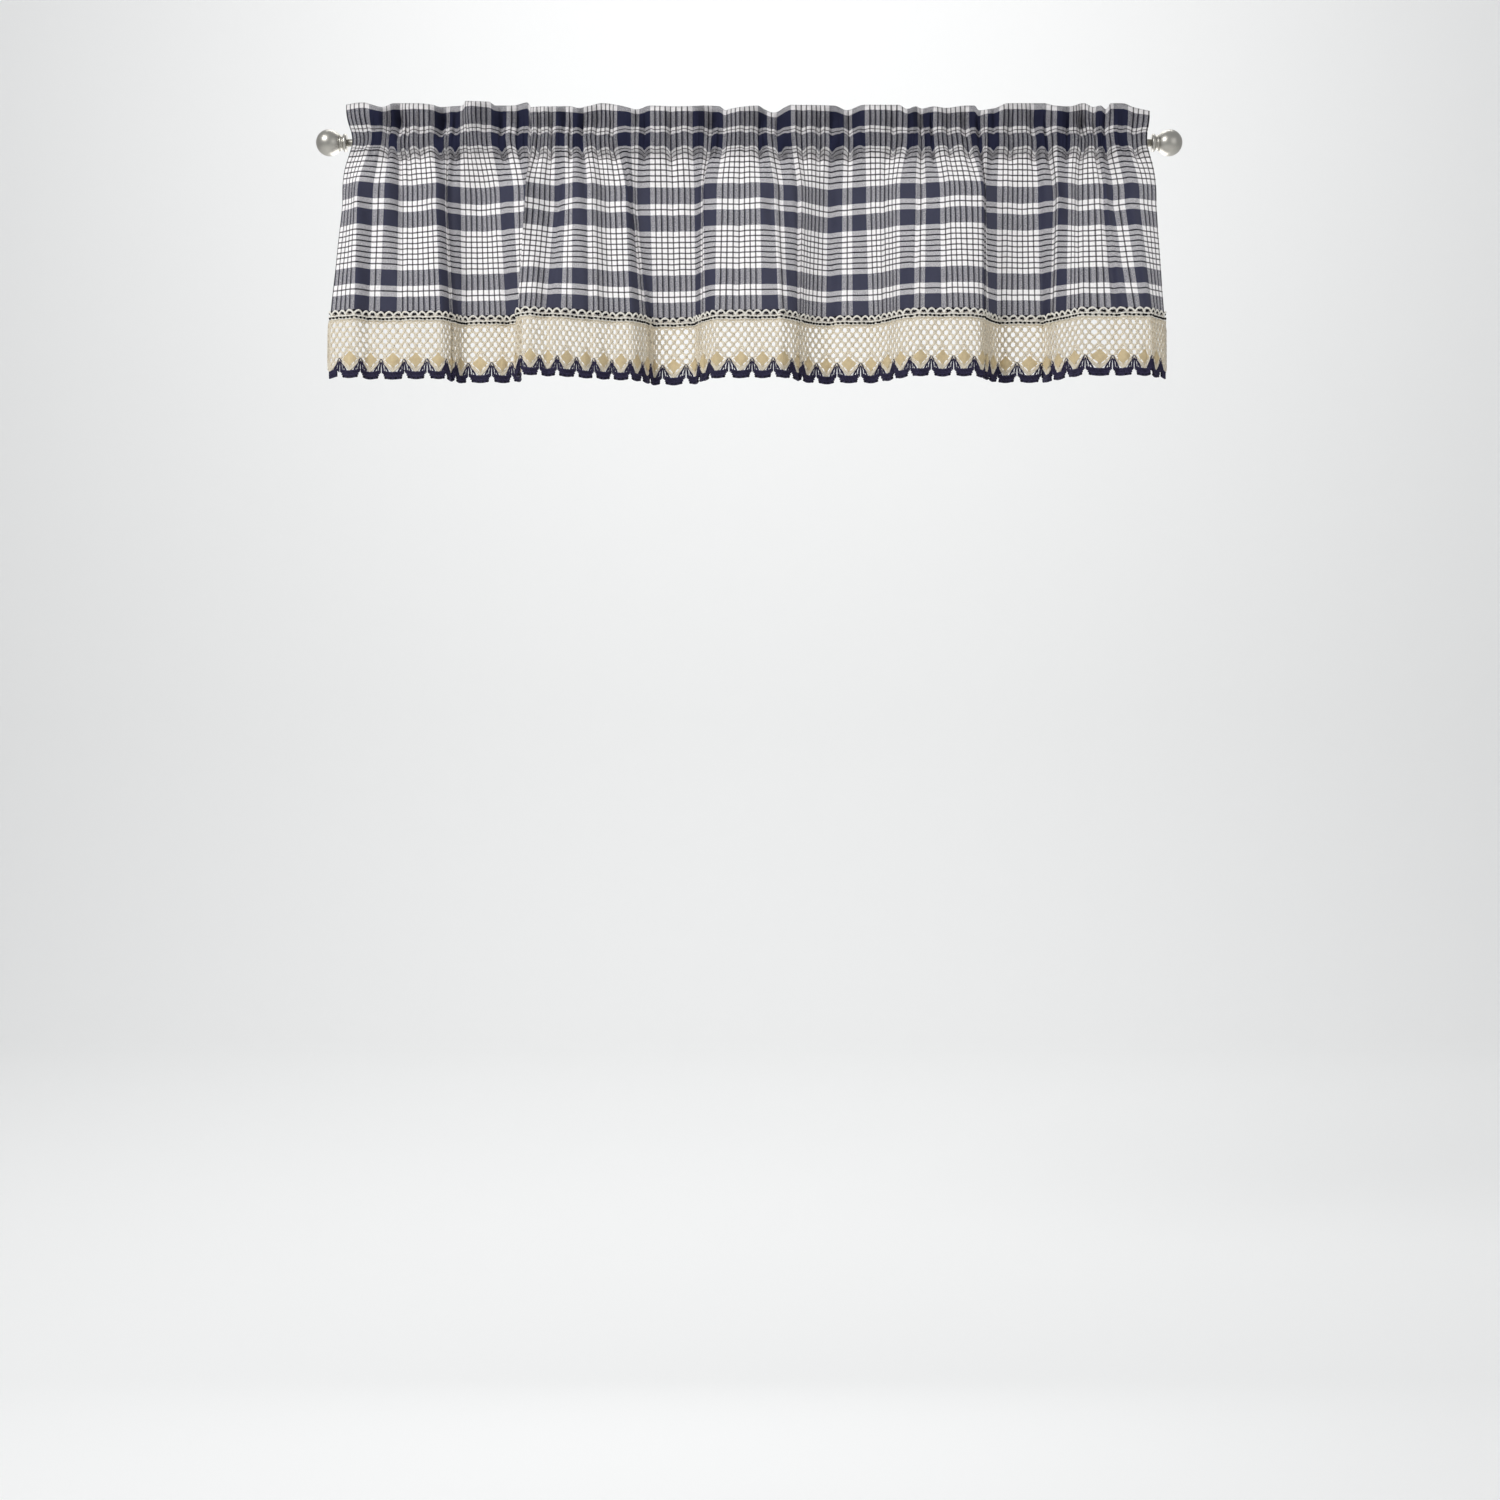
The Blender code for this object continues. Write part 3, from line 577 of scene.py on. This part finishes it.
PANEL_CELLS = (STITCH_LOW_Z - WEFT_START_Z) / CHECK_HIGH
POCKET_CELLS = 4.97  # the pocket's front takes more cloth than the gap between its stitches
HEADING_CELLS = 5.8
# Height in metres and cells above the lower stitches: the cloth folds in at the stitches.
POCKET_FLAT = ((STITCH_LOW_Z, 0.0), (-0.010, 0.85), (-0.0068, 1.87), (STITCH_TOP_Z, POCKET_CELLS))
# Share of the heading's height and cells above the upper stitches.
HEADING_FLAT = ((0.0, 0.0), (0.21, 1.9), (0.80, 4.9), (1.0, HEADING_CELLS))
HALF_APART = 0.0006  # half the gap between the heading's two layers
BEHIND = 0.0003  # how much further back its back layer lies
TURNING = 0.009  # the edge that hangs free below the lower stitches, behind

u_line = np.linspace(LEFT_CELL, RIGHT_CELL, 900)
edge_cells, edge_mm = np.array(TOP_EDGE).T
top_z = smooth_curve(u_line, edge_cells, edge_mm / 1000)
top_z = top_z + EDGE_RISE * front_creased(u_line, TOP_Z + 0 * u_line)[1]


def cloth_rows():
    """Rows of the cloth from the hem up the front, over the top and down the back, each as
    (points, flat height in cells). The heading's layers close at the top edge: their gap is
    sqrt(1 - t^8) at the share t of its height."""
    rows = []
    for z in np.linspace(HEM_Z, STITCH_LOW_Z, 48)[:-1]:
        rows.append((laid(front_creased, u_line, z, 0.0), (z - WEFT_START_Z) / CHECK_HIGH))
    pocket = arch_places(15)
    for z in pocket:
        high = PANEL_CELLS + np.interp(z, *np.array(POCKET_FLAT).T)
        rows.append((laid(front_creased, u_line, z, 0.0), high))
    fold = PANEL_CELLS + POCKET_CELLS + HEADING_CELLS
    steps = np.linspace(0, 1, 13)[1:]
    for side, shares in ((-1, steps), (1, steps[::-1][1:])):
        for t in shares:
            z = STITCH_TOP_Z + t * (top_z - STITCH_TOP_Z)
            apart = side * HALF_APART * np.sqrt(1 - t**8) * min(1, 4 * t) + max(0, side) * BEHIND
            to_fold = HEADING_CELLS - np.interp(t, *np.array(HEADING_FLAT).T)
            rows.append((laid(front_creased, u_line, z, apart), fold + side * to_fold))
    back = fold + HEADING_CELLS
    for k, z in enumerate(pocket[::-1]):
        high = back + POCKET_CELLS * k / (len(pocket) - 1)
        rows.append((laid(back_creased, u_line, z, 0.0004), high))
    for t in (0.35, 0.7, 1.0):
        high = back + POCKET_CELLS + TURNING * t / CHECK_HIGH
        rows.append((laid(front_creased, u_line, STITCH_LOW_Z - TURNING * t, 0.0007), high))
    return rows


cloth_material = plaid_cotton()
rows = cloth_rows()
cloth_flat = [together(u_line, high) * CHECK for _, high in rows]
cloth_faces = grid_faces(len(rows), len(u_line))
cloth = add_piece("plaid_cloth", [points for points, _ in rows], cloth_faces, cloth_material, cloth_flat)
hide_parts("valance_cloth")


# ----------------------------------------------------------
# The stitches. Two rows of white lockstitch hold the pocket, and one runs up each
# side hem, which is turned to the back; each stitch is a low hump of thread.

STITCH = 0.0025
STITCH_CELLS = 0.36  # the same along a row
STITCH_SHARES = np.linspace(0.12, 0.88, 4)  # where a stitch's points lie on its length
THREAD_RADIUS = 0.00022


def unit_cross(a, b):
    """Cross product of two arrays of vectors, made unit length."""
    c = np.cross(a, b)
    return c / np.maximum(np.linalg.norm(c, axis=-1, keepdims=True), 1e-12)


def repeated(faces, count, points):
    """The faces of one thing for a number of them, each with so many points."""
    return (faces[None] + (np.arange(count) * points)[:, None, None]).reshape(-1, 4)


def cord_arrays(paths, radius, sides):
    """Round cords laid on the folds. paths is (cords, points, 3): flat place in cells, height,
    and distance out along the normal. Each ring is the centre plus radius times
    (cos a * normal + sin a * across); the last column of the layout is the turn round it."""
    u, z, out = np.moveaxis(np.asarray(paths, float), -1, 0)
    centre, normal = frame_on(front_creased, u, z)
    centre = centre + normal * out[..., None]
    tangent = np.gradient(centre, axis=1)
    across = unit_cross(tangent, normal)
    lift = unit_cross(across, tangent)
    angle = 2 * np.pi * np.arange(sides) / sides
    ring = together(np.cos(angle), np.sin(angle)) @ np.stack([lift, across], axis=-2)
    points = centre[..., None, :] + radius * ring
    run = np.cumsum(np.linalg.norm(np.diff(centre, axis=1, prepend=centre[:, :1]), axis=-1), axis=1)
    layout = together(run[..., None], angle / (2 * np.pi))
    cords, length = u.shape
    faces = repeated(grid_faces(length, sides, wrap=True)[:, ::-1], cords, length * sides)
    return points.reshape(-1, 3), faces, layout.reshape(-1, 2)


def bead_arrays(centres, half, rings=4, sides=6):
    """Small round beads laid on the folds: each is an ellipsoid with half sizes in metres
    (across, up, out). centres is (beads, 3), with the columns of a cord's points."""
    u, z, out = np.asarray(centres, float).T
    middle, normal = frame_on(front_creased, u, z)
    middle = middle + normal * out[:, None]
    across = unit_cross(np.broadcast_to([0.0, 0.0, 1.0], normal.shape), normal)
    high = unit_cross(normal, across)
    a = np.repeat(np.pi * (np.arange(rings + 1) / rings), sides)
    b = np.tile(2 * np.pi * np.arange(sides) / sides, rings + 1)
    ball = together(np.sin(a) * np.cos(b), np.cos(a), np.sin(a) * np.sin(b)) * half
    points = middle[:, None] + ball @ np.stack([across, high, normal], axis=1)
    faces = repeated(grid_faces(rings + 1, sides, wrap=True), len(u), len(ball))
    return points.reshape(-1, 3), faces, np.zeros((len(u) * len(ball), 2))


def add_parts(name, parts, material):
    """Several (points, faces, layout) sets as one piece."""
    points, faces, layout = zip(*parts)
    first = np.cumsum([0, *(len(p) for p in points[:-1])])
    faces = [f + start for f, start in zip(faces, first)]
    return add_piece(name, np.concatenate(points), np.concatenate(faces), material, np.concatenate(layout))


def spun_cotton(name, colour, ply_shade_colour, twist, sheer=0.0):
    """Plied cotton cord: a slanting twist across each cord, with painted shade between its plies: the cord
    fades to its second colour in the grooves, and in random patches.
    """
    material, tree, output = new_material(name)
    layout = add_node(tree, "ShaderNodeUVMap", uv_map="flat")[0]
    split = add_node(tree, "ShaderNodeSeparateXYZ", {0: layout})
    turns = calc(tree, "MULTIPLY", split[0], 1 / twist)
    total = calc(tree, "ADD", turns, calc(tree, "MULTIPLY", split[1], 2.0))
    lift = calc(tree, "ABSOLUTE", calc(tree, "SINE", calc(tree, "MULTIPLY", total, float(np.pi))))
    patches = noise(tree, add_node(tree, "ShaderNodeTexCoord")["Object"], 160.0, 3.0)
    # painted shade: the second colour fills the grooves between the plies, where the ply bump is low, and
    # random noise patches
    ply_shade_and_patches = spread(tree, calc(tree, "MULTIPLY", lift, patches), 0.05, 0.45, 0.0, 1.0)
    shade = mixed_colour(tree, ply_shade_and_patches, linear(ply_shade_colour), linear(colour))
    normal = raised(tree, lift, 0.5, 0.0003)
    cotton_surface(tree, output, shade, shade, normal, sheer, {"Roughness": 0.85})
    return material


def stitch_row(z):
    """Stitches along the cloth at height z."""
    starts = np.arange(LEFT_CELL, RIGHT_CELL - STITCH_CELLS, STITCH_CELLS)[:, None]
    out = -0.0009 - 0.00025 * np.sin(np.pi * STITCH_SHARES)
    return together(starts + STITCH_SHARES * STITCH_CELLS, z, out)


def stitch_column(u, low, high):
    """Stitches up a side hem at flat place u."""
    z = np.arange(low, high - STITCH, STITCH)[:, None] + STITCH_SHARES * STITCH
    return together(u, z, -0.0004 - 0.0002 * np.sin(np.pi * np.linspace(0, 1, 4)))


thread = spun_cotton("sewing_thread", "#efecef", "#b9b4bd", 0.0008)
stitches = [stitch_row(STITCH_LOW_Z), stitch_row(STITCH_TOP_Z)]
stitches += [stitch_column(u, -0.218, -0.018) for u in (LEFT_CELL + 1.5, RIGHT_CELL - 1.5)]
stitching = add_parts("pocket_stitching", [cord_arrays(s, THREAD_RADIUS, 4) for s in stitches], thread)

# ----------------------------------------------------------
# The lace border. Ecru cotton crochet: a close header that is sewn behind the cloth's
# lower edge, a net of knotted diagonal cords, and a solid diamond in each point.

VALLEY_Z = -0.2815
POINT_Z = -0.2962
HEADER_TOP_Z, HEADER_LOW_Z = -0.2222, -0.2316
NET_TOP_Z = HEADER_LOW_Z + 0.001
SIDE_LOW_Z = -0.288  # where the net's upright side cords end
SCALLOPS = 50
NET_ROW = 0.0064
NET_ROWS = 11
NET_CORD_RADIUS = 0.00150
KNOT_HALF = (0.0027, 0.0026, 0.0015)
LOBE_HALF = (0.0042, 0.0034, 0.0011)
DIAMOND_HALF = (0.33, 0.0097)  # in scallops across, in metres up
DIAMOND_OUT = 0.0017
# Where the valleys lie on the cloth, as (number of the valley, flat place in cells): the
# lace is eased on, a little tighter in some places than in others.
SCALLOP_PLACES = (
    (0, -2.7), (5, 17.5), (9, 33.0), (12, 43.6), (17, 60.5), (19, 67.2), (21, 73.8), (24, 86.6),
    (28, 101.8), (33, 122.4), (39, 145.4), (41, 152.0), (44, 164.2), (47, 176.0), (50, 186.2),
)


def valley_cell(number):
    """The flat place of a valley by its number, which may lie between two valleys."""
    numbers, cells = np.array(SCALLOP_PLACES).T
    return smooth_curve(number, numbers, cells)


def valley_number(u):
    """The number of the scallop's valley at a flat place, with its fraction."""
    numbers = np.linspace(-2, SCALLOPS + 2, 2000)
    return np.interp(u, valley_cell(numbers), numbers)


def edge_height(u):
    """The pointed lower edge: a triangle wave from the valleys to the points."""
    share = np.mod(valley_number(u), 1)
    return VALLEY_Z + (POINT_Z - VALLEY_Z) * (1 - np.abs(2 * share - 1))


def net_diagonals(side):
    """Diagonal cords of the net, three meshes a scallop and half a mesh across for every
    row down; past the pointed edge a cord follows the edge, and past a side the side.
    A cord runs almost upright at the knots, by the sine, which rounds the meshes."""
    starts = np.arange(-3 - 2 * NET_ROWS, 3 * SCALLOPS + 3 + 2 * NET_ROWS)[:, None] / 3
    drop = np.linspace(0, NET_ROWS, 34)
    turn = drop - 0.8 * np.sin(2 * np.pi * drop) / (2 * np.pi)
    u = np.clip(valley_cell(starts + side * turn / 6), LEFT_CELL, RIGHT_CELL)
    z = np.maximum(NET_TOP_Z - drop * NET_ROW, edge_height(u))
    keep = (u.max(axis=1) > LEFT_CELL + 0.1) & (u.min(axis=1) < RIGHT_CELL - 0.1)
    return together(u, z, side * 0.0004 * np.cos(np.pi * drop))[keep]


def net_knots():
    """A knot wherever two diagonals cross, every half mesh across and one row down."""
    i, j = np.meshgrid(np.arange(-6, 6 * SCALLOPS + 6), np.arange(NET_ROWS), indexing="ij")
    u = valley_cell(i / 6)
    z = NET_TOP_Z - j * NET_ROW
    inside = (u > LEFT_CELL + 0.1) & (u < RIGHT_CELL - 0.1)
    return together(u, z, 0.0)[((i + j) % 2 == 0) & inside & (z > edge_height(u) + 0.001)]


def edge_run(height, out):
    """One long cord that follows a height along the whole border."""
    first, last = valley_number(LEFT_CELL), valley_number(RIGHT_CELL)
    inner = np.arange(np.ceil(14 * first), np.floor(14 * last) + 1) / 14
    u = valley_cell(np.concatenate([[first], inner, [last]]))
    return together(u, height(u), out)[None]


def strip(name, heights, out, material):
    """A narrow band laid along the whole cloth through the given heights."""
    u = np.linspace(LEFT_CELL, RIGHT_CELL, 480)
    points = [laid(front_creased, u, z, out) for z in heights]
    flat = [together(u * CHECK, z) for z in heights]
    return add_piece(name, points, grid_faces(len(heights), len(u))[:, ::-1], material, flat)


def diamond_arrays():
    """The solid diamonds: a square patch turned on its corner, ribbed by its rows of
    stitches (a cosine across it), a little crowned, and ragged by one row along its rim."""
    n = 13
    a, b = np.meshgrid(np.linspace(-1, 1, n), np.linspace(-1, 1, n), indexing="ij")
    rim = 1.0
    for p, q in ((a, b), (b, a)):
        rim = rim - 0.05 * np.cos(5 * np.pi * p) * (np.abs(q) > 0.99)
    middle = np.arange(SCALLOPS)[:, None, None] + 0.5
    u = valley_cell(middle + 0.5 * (a + b) * DIAMOND_HALF[0] * rim)
    z = VALLEY_Z + 0.0004 + 0.5 * (a - b) * DIAMOND_HALF[1] * rim
    crown = 0.0007 * (1 - a**2) * (1 - b**2)
    points = laid(front_creased, u, z, -crown - 0.00035 * np.abs(np.cos(3 * np.pi * a)) - DIAMOND_OUT)
    layout = together(0.01 * a, b + 0 * u)
    return points.reshape(-1, 3), repeated(grid_faces(n, n), SCALLOPS, n * n), layout.reshape(-1, 2)


lace_cotton = spun_cotton("ecru_crochet_cotton", "#fbf4e4", "#efe4ce", 0.0022, sheer=0.25)
lace_parts = [cord_arrays(net_diagonals(side), NET_CORD_RADIUS, 5) for side in (-1, 1)]
lace_parts.append(bead_arrays(net_knots(), KNOT_HALF))
net = add_parts("lace_net", lace_parts, lace_cotton)
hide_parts("lace_border")

# The heavier cords: the edge, one above it, the diamonds' upper sides (the edge's mirror
# image above the valleys) and the header's foot, each as (height, out, radius).
FRAME_CORDS = (
    (edge_height, -0.0004, 0.0012),
    (lambda u: edge_height(u) + 0.0026, -0.0002, 0.0010),
    (lambda u: 2 * VALLEY_Z - edge_height(u), -0.0006, 0.0010),
    (lambda u: HEADER_LOW_Z, 0.0, 0.0010),
)
border_parts = [cord_arrays(edge_run(height, out), radius, 6) for height, out, radius in FRAME_CORDS]
for side_cell in (LEFT_CELL + 0.2, RIGHT_CELL - 0.2):
    side_run = together(side_cell, np.linspace(HEADER_LOW_Z, SIDE_LOW_Z, 14), 0.0)
    border_parts.append(cord_arrays(side_run[None], 0.0013, 6))
lobes = together(valley_cell(np.arange(SCALLOPS) + 0.5), POINT_Z + 0.0030, 0.0)
border_parts.append(bead_arrays(lobes, LOBE_HALF, 6, 10))
frames = add_parts("lace_frame_cords", border_parts, lace_cotton)

dense_cotton = spun_cotton("close_crochet_cotton", "#e6d4ad", "#d0ba90", 0.0012, sheer=0.15)
diamonds = add_parts("lace_diamonds", [diamond_arrays()], dense_cotton)

header = strip("lace_header", np.linspace(HEADER_TOP_Z, HEADER_LOW_Z, 6), 0.0012, lace_cotton)

# ----------------------------------------------------------
# The braid. A narrow tape with cream arches over a black zigzag, a level cream cord
# and a row of black knots along the lower edge, sewn over the cloth's lower edge.

LOOP_CELLS = 1.50  # one arch, 10.5 mm
ARCH_Z = (-0.2256, -0.2192)
BLACK_Z = (-0.2226, -0.2194)
CORD_Z = -0.2262
KNOT_Z = -0.2284
BRAID_LOW_Z = -0.2298
BRAID_OUT = -0.0024
ARCH_LEAN = 0.06  # in cells


def braid_places(points):
    """Flat places along the braid, so many an arch."""
    return np.linspace(LEFT_CELL, RIGHT_CELL, int((RIGHT_CELL - LEFT_CELL) / LOOP_CELLS) * points)


def loop_run(low, high):
    """A row of open arches: the height is |sin t| to the 0.7, and the arches swell to both
    sides by sin 4t |sin t|."""
    u = braid_places(16)
    turn = np.pi * u / LOOP_CELLS
    rise = np.abs(np.sin(turn))
    slant = np.clip(u - ARCH_LEAN * np.sin(4 * turn) * rise, LEFT_CELL, RIGHT_CELL)
    return together(slant, low + (high - low) * rise**0.7, BRAID_OUT + 0.0004 * np.cos(2 * turn))[None]


def wave_run(middle, half, out):
    """A gentle zigzag: a cosine, one turn an arch, high at the arches' feet."""
    u = braid_places(10)
    return together(u, middle + half * np.cos(2 * np.pi * u / LOOP_CELLS), out)[None]


def knot_places():
    """Two black knots an arch, the second a little higher."""
    u = np.arange(LEFT_CELL + 0.3, RIGHT_CELL - 0.2, LOOP_CELLS / 2)
    return together(u, KNOT_Z + 0.0004 * (np.arange(len(u)) % 2), BRAID_OUT)


braid_cream = spun_cotton("braid_cream_cotton", "#fffdf6", "#e9e1d0", 0.0016)
braid_black = spun_cotton("braid_black_cotton", "#14121c", "#08070d", 0.0016)
cream_parts = [
    cord_arrays(loop_run(*ARCH_Z), 0.00125, 6),
    cord_arrays(wave_run(CORD_Z, 0.0002, BRAID_OUT), 0.00105, 5),
    cord_arrays(wave_run(BRAID_LOW_Z, 0.0003, BRAID_OUT + 0.0008), 0.0008, 5),
]
cream_cords = add_parts("braid_cream_cords", cream_parts, braid_cream)
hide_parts("braid_trim")
zigzag = wave_run(0.5 * sum(BLACK_Z), 0.5 * (BLACK_Z[1] - BLACK_Z[0]), BRAID_OUT + 0.0010)
black_parts = [cord_arrays(zigzag, 0.00140, 5), bead_arrays(knot_places(), (0.00185, 0.00150, 0.0014))]
black_cords = add_parts("braid_black_cords", black_parts, braid_black)
tape = strip("braid_tape", np.linspace(CORD_Z, BRAID_LOW_Z, 5), -0.0010, braid_cream)

# ----------------------------------------------------------
# The crocheted edging. Navy cotton worked onto the points: a thick scallop under each
# point with four small picots, and thin legs that meet over each valley round a slit.

PICOTS = (0.20, 0.40, 0.60, 0.80)
PICOT_HALF = (0.0024, 0.0021, 0.0015)
ARC_RADIUS = 0.00150
ARC_TOP_Z = -0.2938
ARC_ROW = 0.0024
EDGING_OUT = -0.0004
# The legs beside every valley: foot, knee and tip, each as (share of a scallop from the
# valley, height), and the cord's radius.
LEGS = (
    ((0.30, -0.2955), (0.17, -0.2890), (0.012, -0.2797), 0.00130),
    ((0.045, -0.2975), (0.05, -0.2890), (0.014, -0.2812), 0.00090),
    ((0.10, -0.2960), (0.11, -0.2900), (0.03, -0.2850), 0.00075),
    ((0.19, -0.2965), (0.14, -0.2910), (0.17, -0.2885), 0.00075),
)


def sagging(share):
    """The scallops' outline, 0 at the valleys and 1 at the points: sin(pi s) to the 0.8."""
    return np.sin(np.pi * share) ** 0.8


def scallop_arcs():
    """The scallops' four rows of stitches, each a little shorter than the one above it."""
    k, row = (x.reshape(-1, 1) for x in np.meshgrid(np.arange(SCALLOPS), np.arange(4), indexing="ij"))
    first = 0.035 + 0.040 * row
    s = first + (1 - 2 * first) * np.linspace(0.0, 1.0, 13)
    z = ARC_TOP_Z - ARC_ROW * row - 0.0036 * sagging(s)
    return together(valley_cell(k + s), z, EDGING_OUT - 0.0003 * np.cos(np.pi * row))


def valley_legs(foot, knee, tip):
    """Curved legs beside every valley, the same to left and right: a quadratic curve from
    foot by knee to tip."""
    t = np.linspace(0, 1, 9)
    away, z = (together((1 - t) ** 2, 2 * t * (1 - t), t**2) @ np.array([foot, knee, tip])).T
    valleys = np.arange(SCALLOPS + 1)[:, None]
    u = np.concatenate([valley_cell(valleys + side * away) for side in (-1, 1)])
    return together(np.clip(u, LEFT_CELL + 0.05, RIGHT_CELL - 0.05), z, -0.0005)


def end_scallops():
    """The part scallops beyond the first and the last valley: short arcs to the sides."""
    s = np.linspace(0.25, 1.0, 13)
    runs = []
    for first, side in ((0.0, LEFT_CELL + 0.2), (SCALLOPS, RIGHT_CELL - 0.2)):
        u = valley_cell(first + (valley_number(side) - first) * s)
        runs += [together(u, ARC_TOP_Z - ARC_ROW * row - 0.0030 * s, EDGING_OUT) for row in range(4)]
    return np.stack(runs)


def picot_places():
    """Four picots along the bottom of every scallop."""
    k, share = (x.ravel() for x in np.meshgrid(np.arange(SCALLOPS), PICOTS, indexing="ij"))
    return together(valley_cell(k + share), -0.3014 - 0.0026 * sagging(share), EDGING_OUT)


navy_crochet = spun_cotton("navy_crochet_cotton", "#3b3754", "#171525", 0.0020)
edging_parts = [cord_arrays(arcs, ARC_RADIUS, 6) for arcs in (scallop_arcs(), end_scallops())]
edging_parts += [cord_arrays(valley_legs(*leg), radius, 5) for *leg, radius in LEGS]
edging_parts.append(bead_arrays(picot_places(), PICOT_HALF))
edging = add_parts("scallop_crochet", edging_parts, navy_crochet)
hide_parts("scallop_edging")

# ----------------------------------------------------------
# The rod and its finials. A slim steel tube, nickel plated and satin brushed, with a
# turned ball finial screwed into each end: collar, two beads and a ball.

ROD_HALF = 0.5177
ROD_RADIUS = 0.00475
TUBE_INSIDE = 0.00395
TUBE_BEVEL = 0.0002
FINIAL_GAP = 0.0003
# (distance from the rod's end, radius) in mm, from the spigot to the ball's neck
NECK = (
    (-12, 0), (-12, 3.5), (0, 3.5), (0, 10.2), (0.3, 10.9), (0.9, 11.4), (3.3, 11.4), (3.9, 11.0),
    (4.2, 10.2), (5.0, 8.9), (5.8, 8.6), (6.4, 9.0), (6.9, 9.8), (7.7, 10.1), (8.6, 9.8), (9.0, 9.3),
    (9.6, 9.9), (10.2, 10.9), (11.2, 11.4), (12.2, 11.0), (12.9, 10.0),
)
BALL_CENTRE = 0.0228
BALL_RADIUS = 0.0169
NECK_TURN = 0.64  # how far round the ball its neck reaches, in radians
SEGMENTS = 56


def turned_arrays(profile, closed):
    """A profile of (x, radius) points turned about the rod's axis; closed joins its ends."""
    profile = np.array(profile, float)
    x, r = np.repeat(profile, SEGMENTS, axis=0).T
    turn = np.tile(2 * np.pi * np.arange(SEGMENTS) / SEGMENTS, len(profile))
    faces = grid_faces(len(profile) + closed, SEGMENTS, wrap=True) % (len(profile) * SEGMENTS)
    return together(x, r * np.cos(turn), r * np.sin(turn)), faces


def satin_nickel():
    """Nickel plate over brushed metal: grey with a warm cast, its highlight spread along
    fine turning lines; the brushing is too fine to show, so it is drawn at 0.4 mm."""
    material, tree, output = new_material("satin_nickel")
    place = add_node(tree, "ShaderNodeTexCoord")["Object"]
    along = add_node(tree, "ShaderNodeMapping", {"Vector": place, "Scale": (2500, 60, 60)})[0]
    lines = noise(tree, along, 1.0, 2.0)
    inputs = {
        "Base Color": linear("#bebbb3"), "Metallic": 1.0, "Normal": raised(tree, lines, 0.08, 0.0002),
        "Roughness": spread(tree, lines, 0.0, 1.0, 0.30, 0.42),
    }
    tree.links.new(add_node(tree, "ShaderNodeBsdfPrincipled", inputs)[0], output.inputs[0])
    return material


def finial_profile(side):
    """The finial's profile from spigot to ball, on the side of the rod given by its sign."""
    turn = np.linspace(np.pi - NECK_TURN, 0, 30)
    ball = together(BALL_CENTRE + BALL_RADIUS * np.cos(turn), BALL_RADIUS * np.sin(turn))
    line = np.concatenate([np.array(NECK) / 1000, ball])
    line[:, 0] = side * (ROD_HALF + FINIAL_GAP + line[:, 0])
    return line


nickel = satin_nickel()
for name, side in (("finial_left", -1), ("finial_right", 1)):
    points, faces = turned_arrays(finial_profile(side), False)
    finial = add_piece("turned_" + name, points, faces if side < 0 else faces[:, ::-1], nickel)
    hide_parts(name)
half_tube = [
    (ROD_HALF - TUBE_BEVEL, ROD_RADIUS), (ROD_HALF, ROD_RADIUS - TUBE_BEVEL), (ROD_HALF, TUBE_INSIDE),
]
points, faces = turned_arrays([(-x, r) for x, r in half_tube[::-1]] + half_tube, True)
rod = add_piece("tube_rod", points, faces[:, ::-1], nickel)
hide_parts("curtain_rod")

# ----------------------------------------------------------
# The stage: a pale seamless floor that sweeps up far behind the valance, soft studio
# light from the front, two weaker lamps behind the cloth, and one for the backdrop.

FLOOR_Z = -1.66
WALL_Y = 4.9
BEND = 1.0  # the radius of the sweep from floor to wall


def seamless_sweep():
    """A sheet of paper that runs over the floor, round a quarter circle and up the wall."""
    turn = np.linspace(0, np.pi / 2, 17)
    bend = zip(WALL_Y - BEND + BEND * np.sin(turn), FLOOR_Z + BEND * (1 - np.cos(turn)))
    profile = [(-7.0, FLOOR_Z), *bend, (WALL_Y, 5.0)]
    paper, tree, output = new_material("seamless_paper")
    inputs = {"Base Color": linear("#f7f7f6"), "Roughness": 0.9}
    tree.links.new(add_node(tree, "ShaderNodeBsdfPrincipled", inputs)[0], output.inputs[0])
    points = [(x, y, z) for y, z in profile for x in (-8.0, 8.0)]
    return smooth_mesh("studio_sweep", points, grid_faces(len(profile), 2), paper)


def soft_light(name, place, aim, size, power):
    """A large square lamp at a place, turned to the point it lights."""
    data = bpy.data.lights.new(name, "AREA")
    data.shape = "SQUARE"
    data.size = size
    data.energy = power
    lamp = in_scene(name, data)
    lamp.location = place
    lamp.rotation_euler = (Vector(aim) - Vector(place)).to_track_quat("-Z", "Y").to_euler()
    lamp.visible_camera = False


seamless_sweep()
soft_light("key", (-1.9, -2.0, 1.3), (0, 0, -0.1), 0.9, 46)
soft_light("fill", (2.0, -2.6, 0.2), (0, 0, -0.2), 2.2, 9)
soft_light("behind", (0.0, 1.2, 0.5), (0, 0, -0.15), 1.4, 4)
soft_light("low_behind", (0.0, 0.8, -0.75), (0, 0, -0.26), 1.1, 9)
soft_light("backdrop", (0.0, 1.6, 2.6), (0, 4.9, -0.9), 2.4, 80)

world = bpy.data.worlds.new("studio")
world.use_nodes = True
background = world.node_tree.nodes["Background"]
background.inputs["Color"].default_value = linear("#f6f8fb")
background.inputs["Strength"].default_value = 0.46
bpy.context.scene.world = world
bpy.context.scene.view_settings.view_transform = "Standard"

camera_data = bpy.data.cameras.new("camera")
camera_data.lens = 55.9
camera = in_scene("camera", camera_data)
camera.location = (0.001, -3.0, -0.782)
camera.rotation_euler = (np.pi / 2, 0, 0)
bpy.context.scene.camera = camera
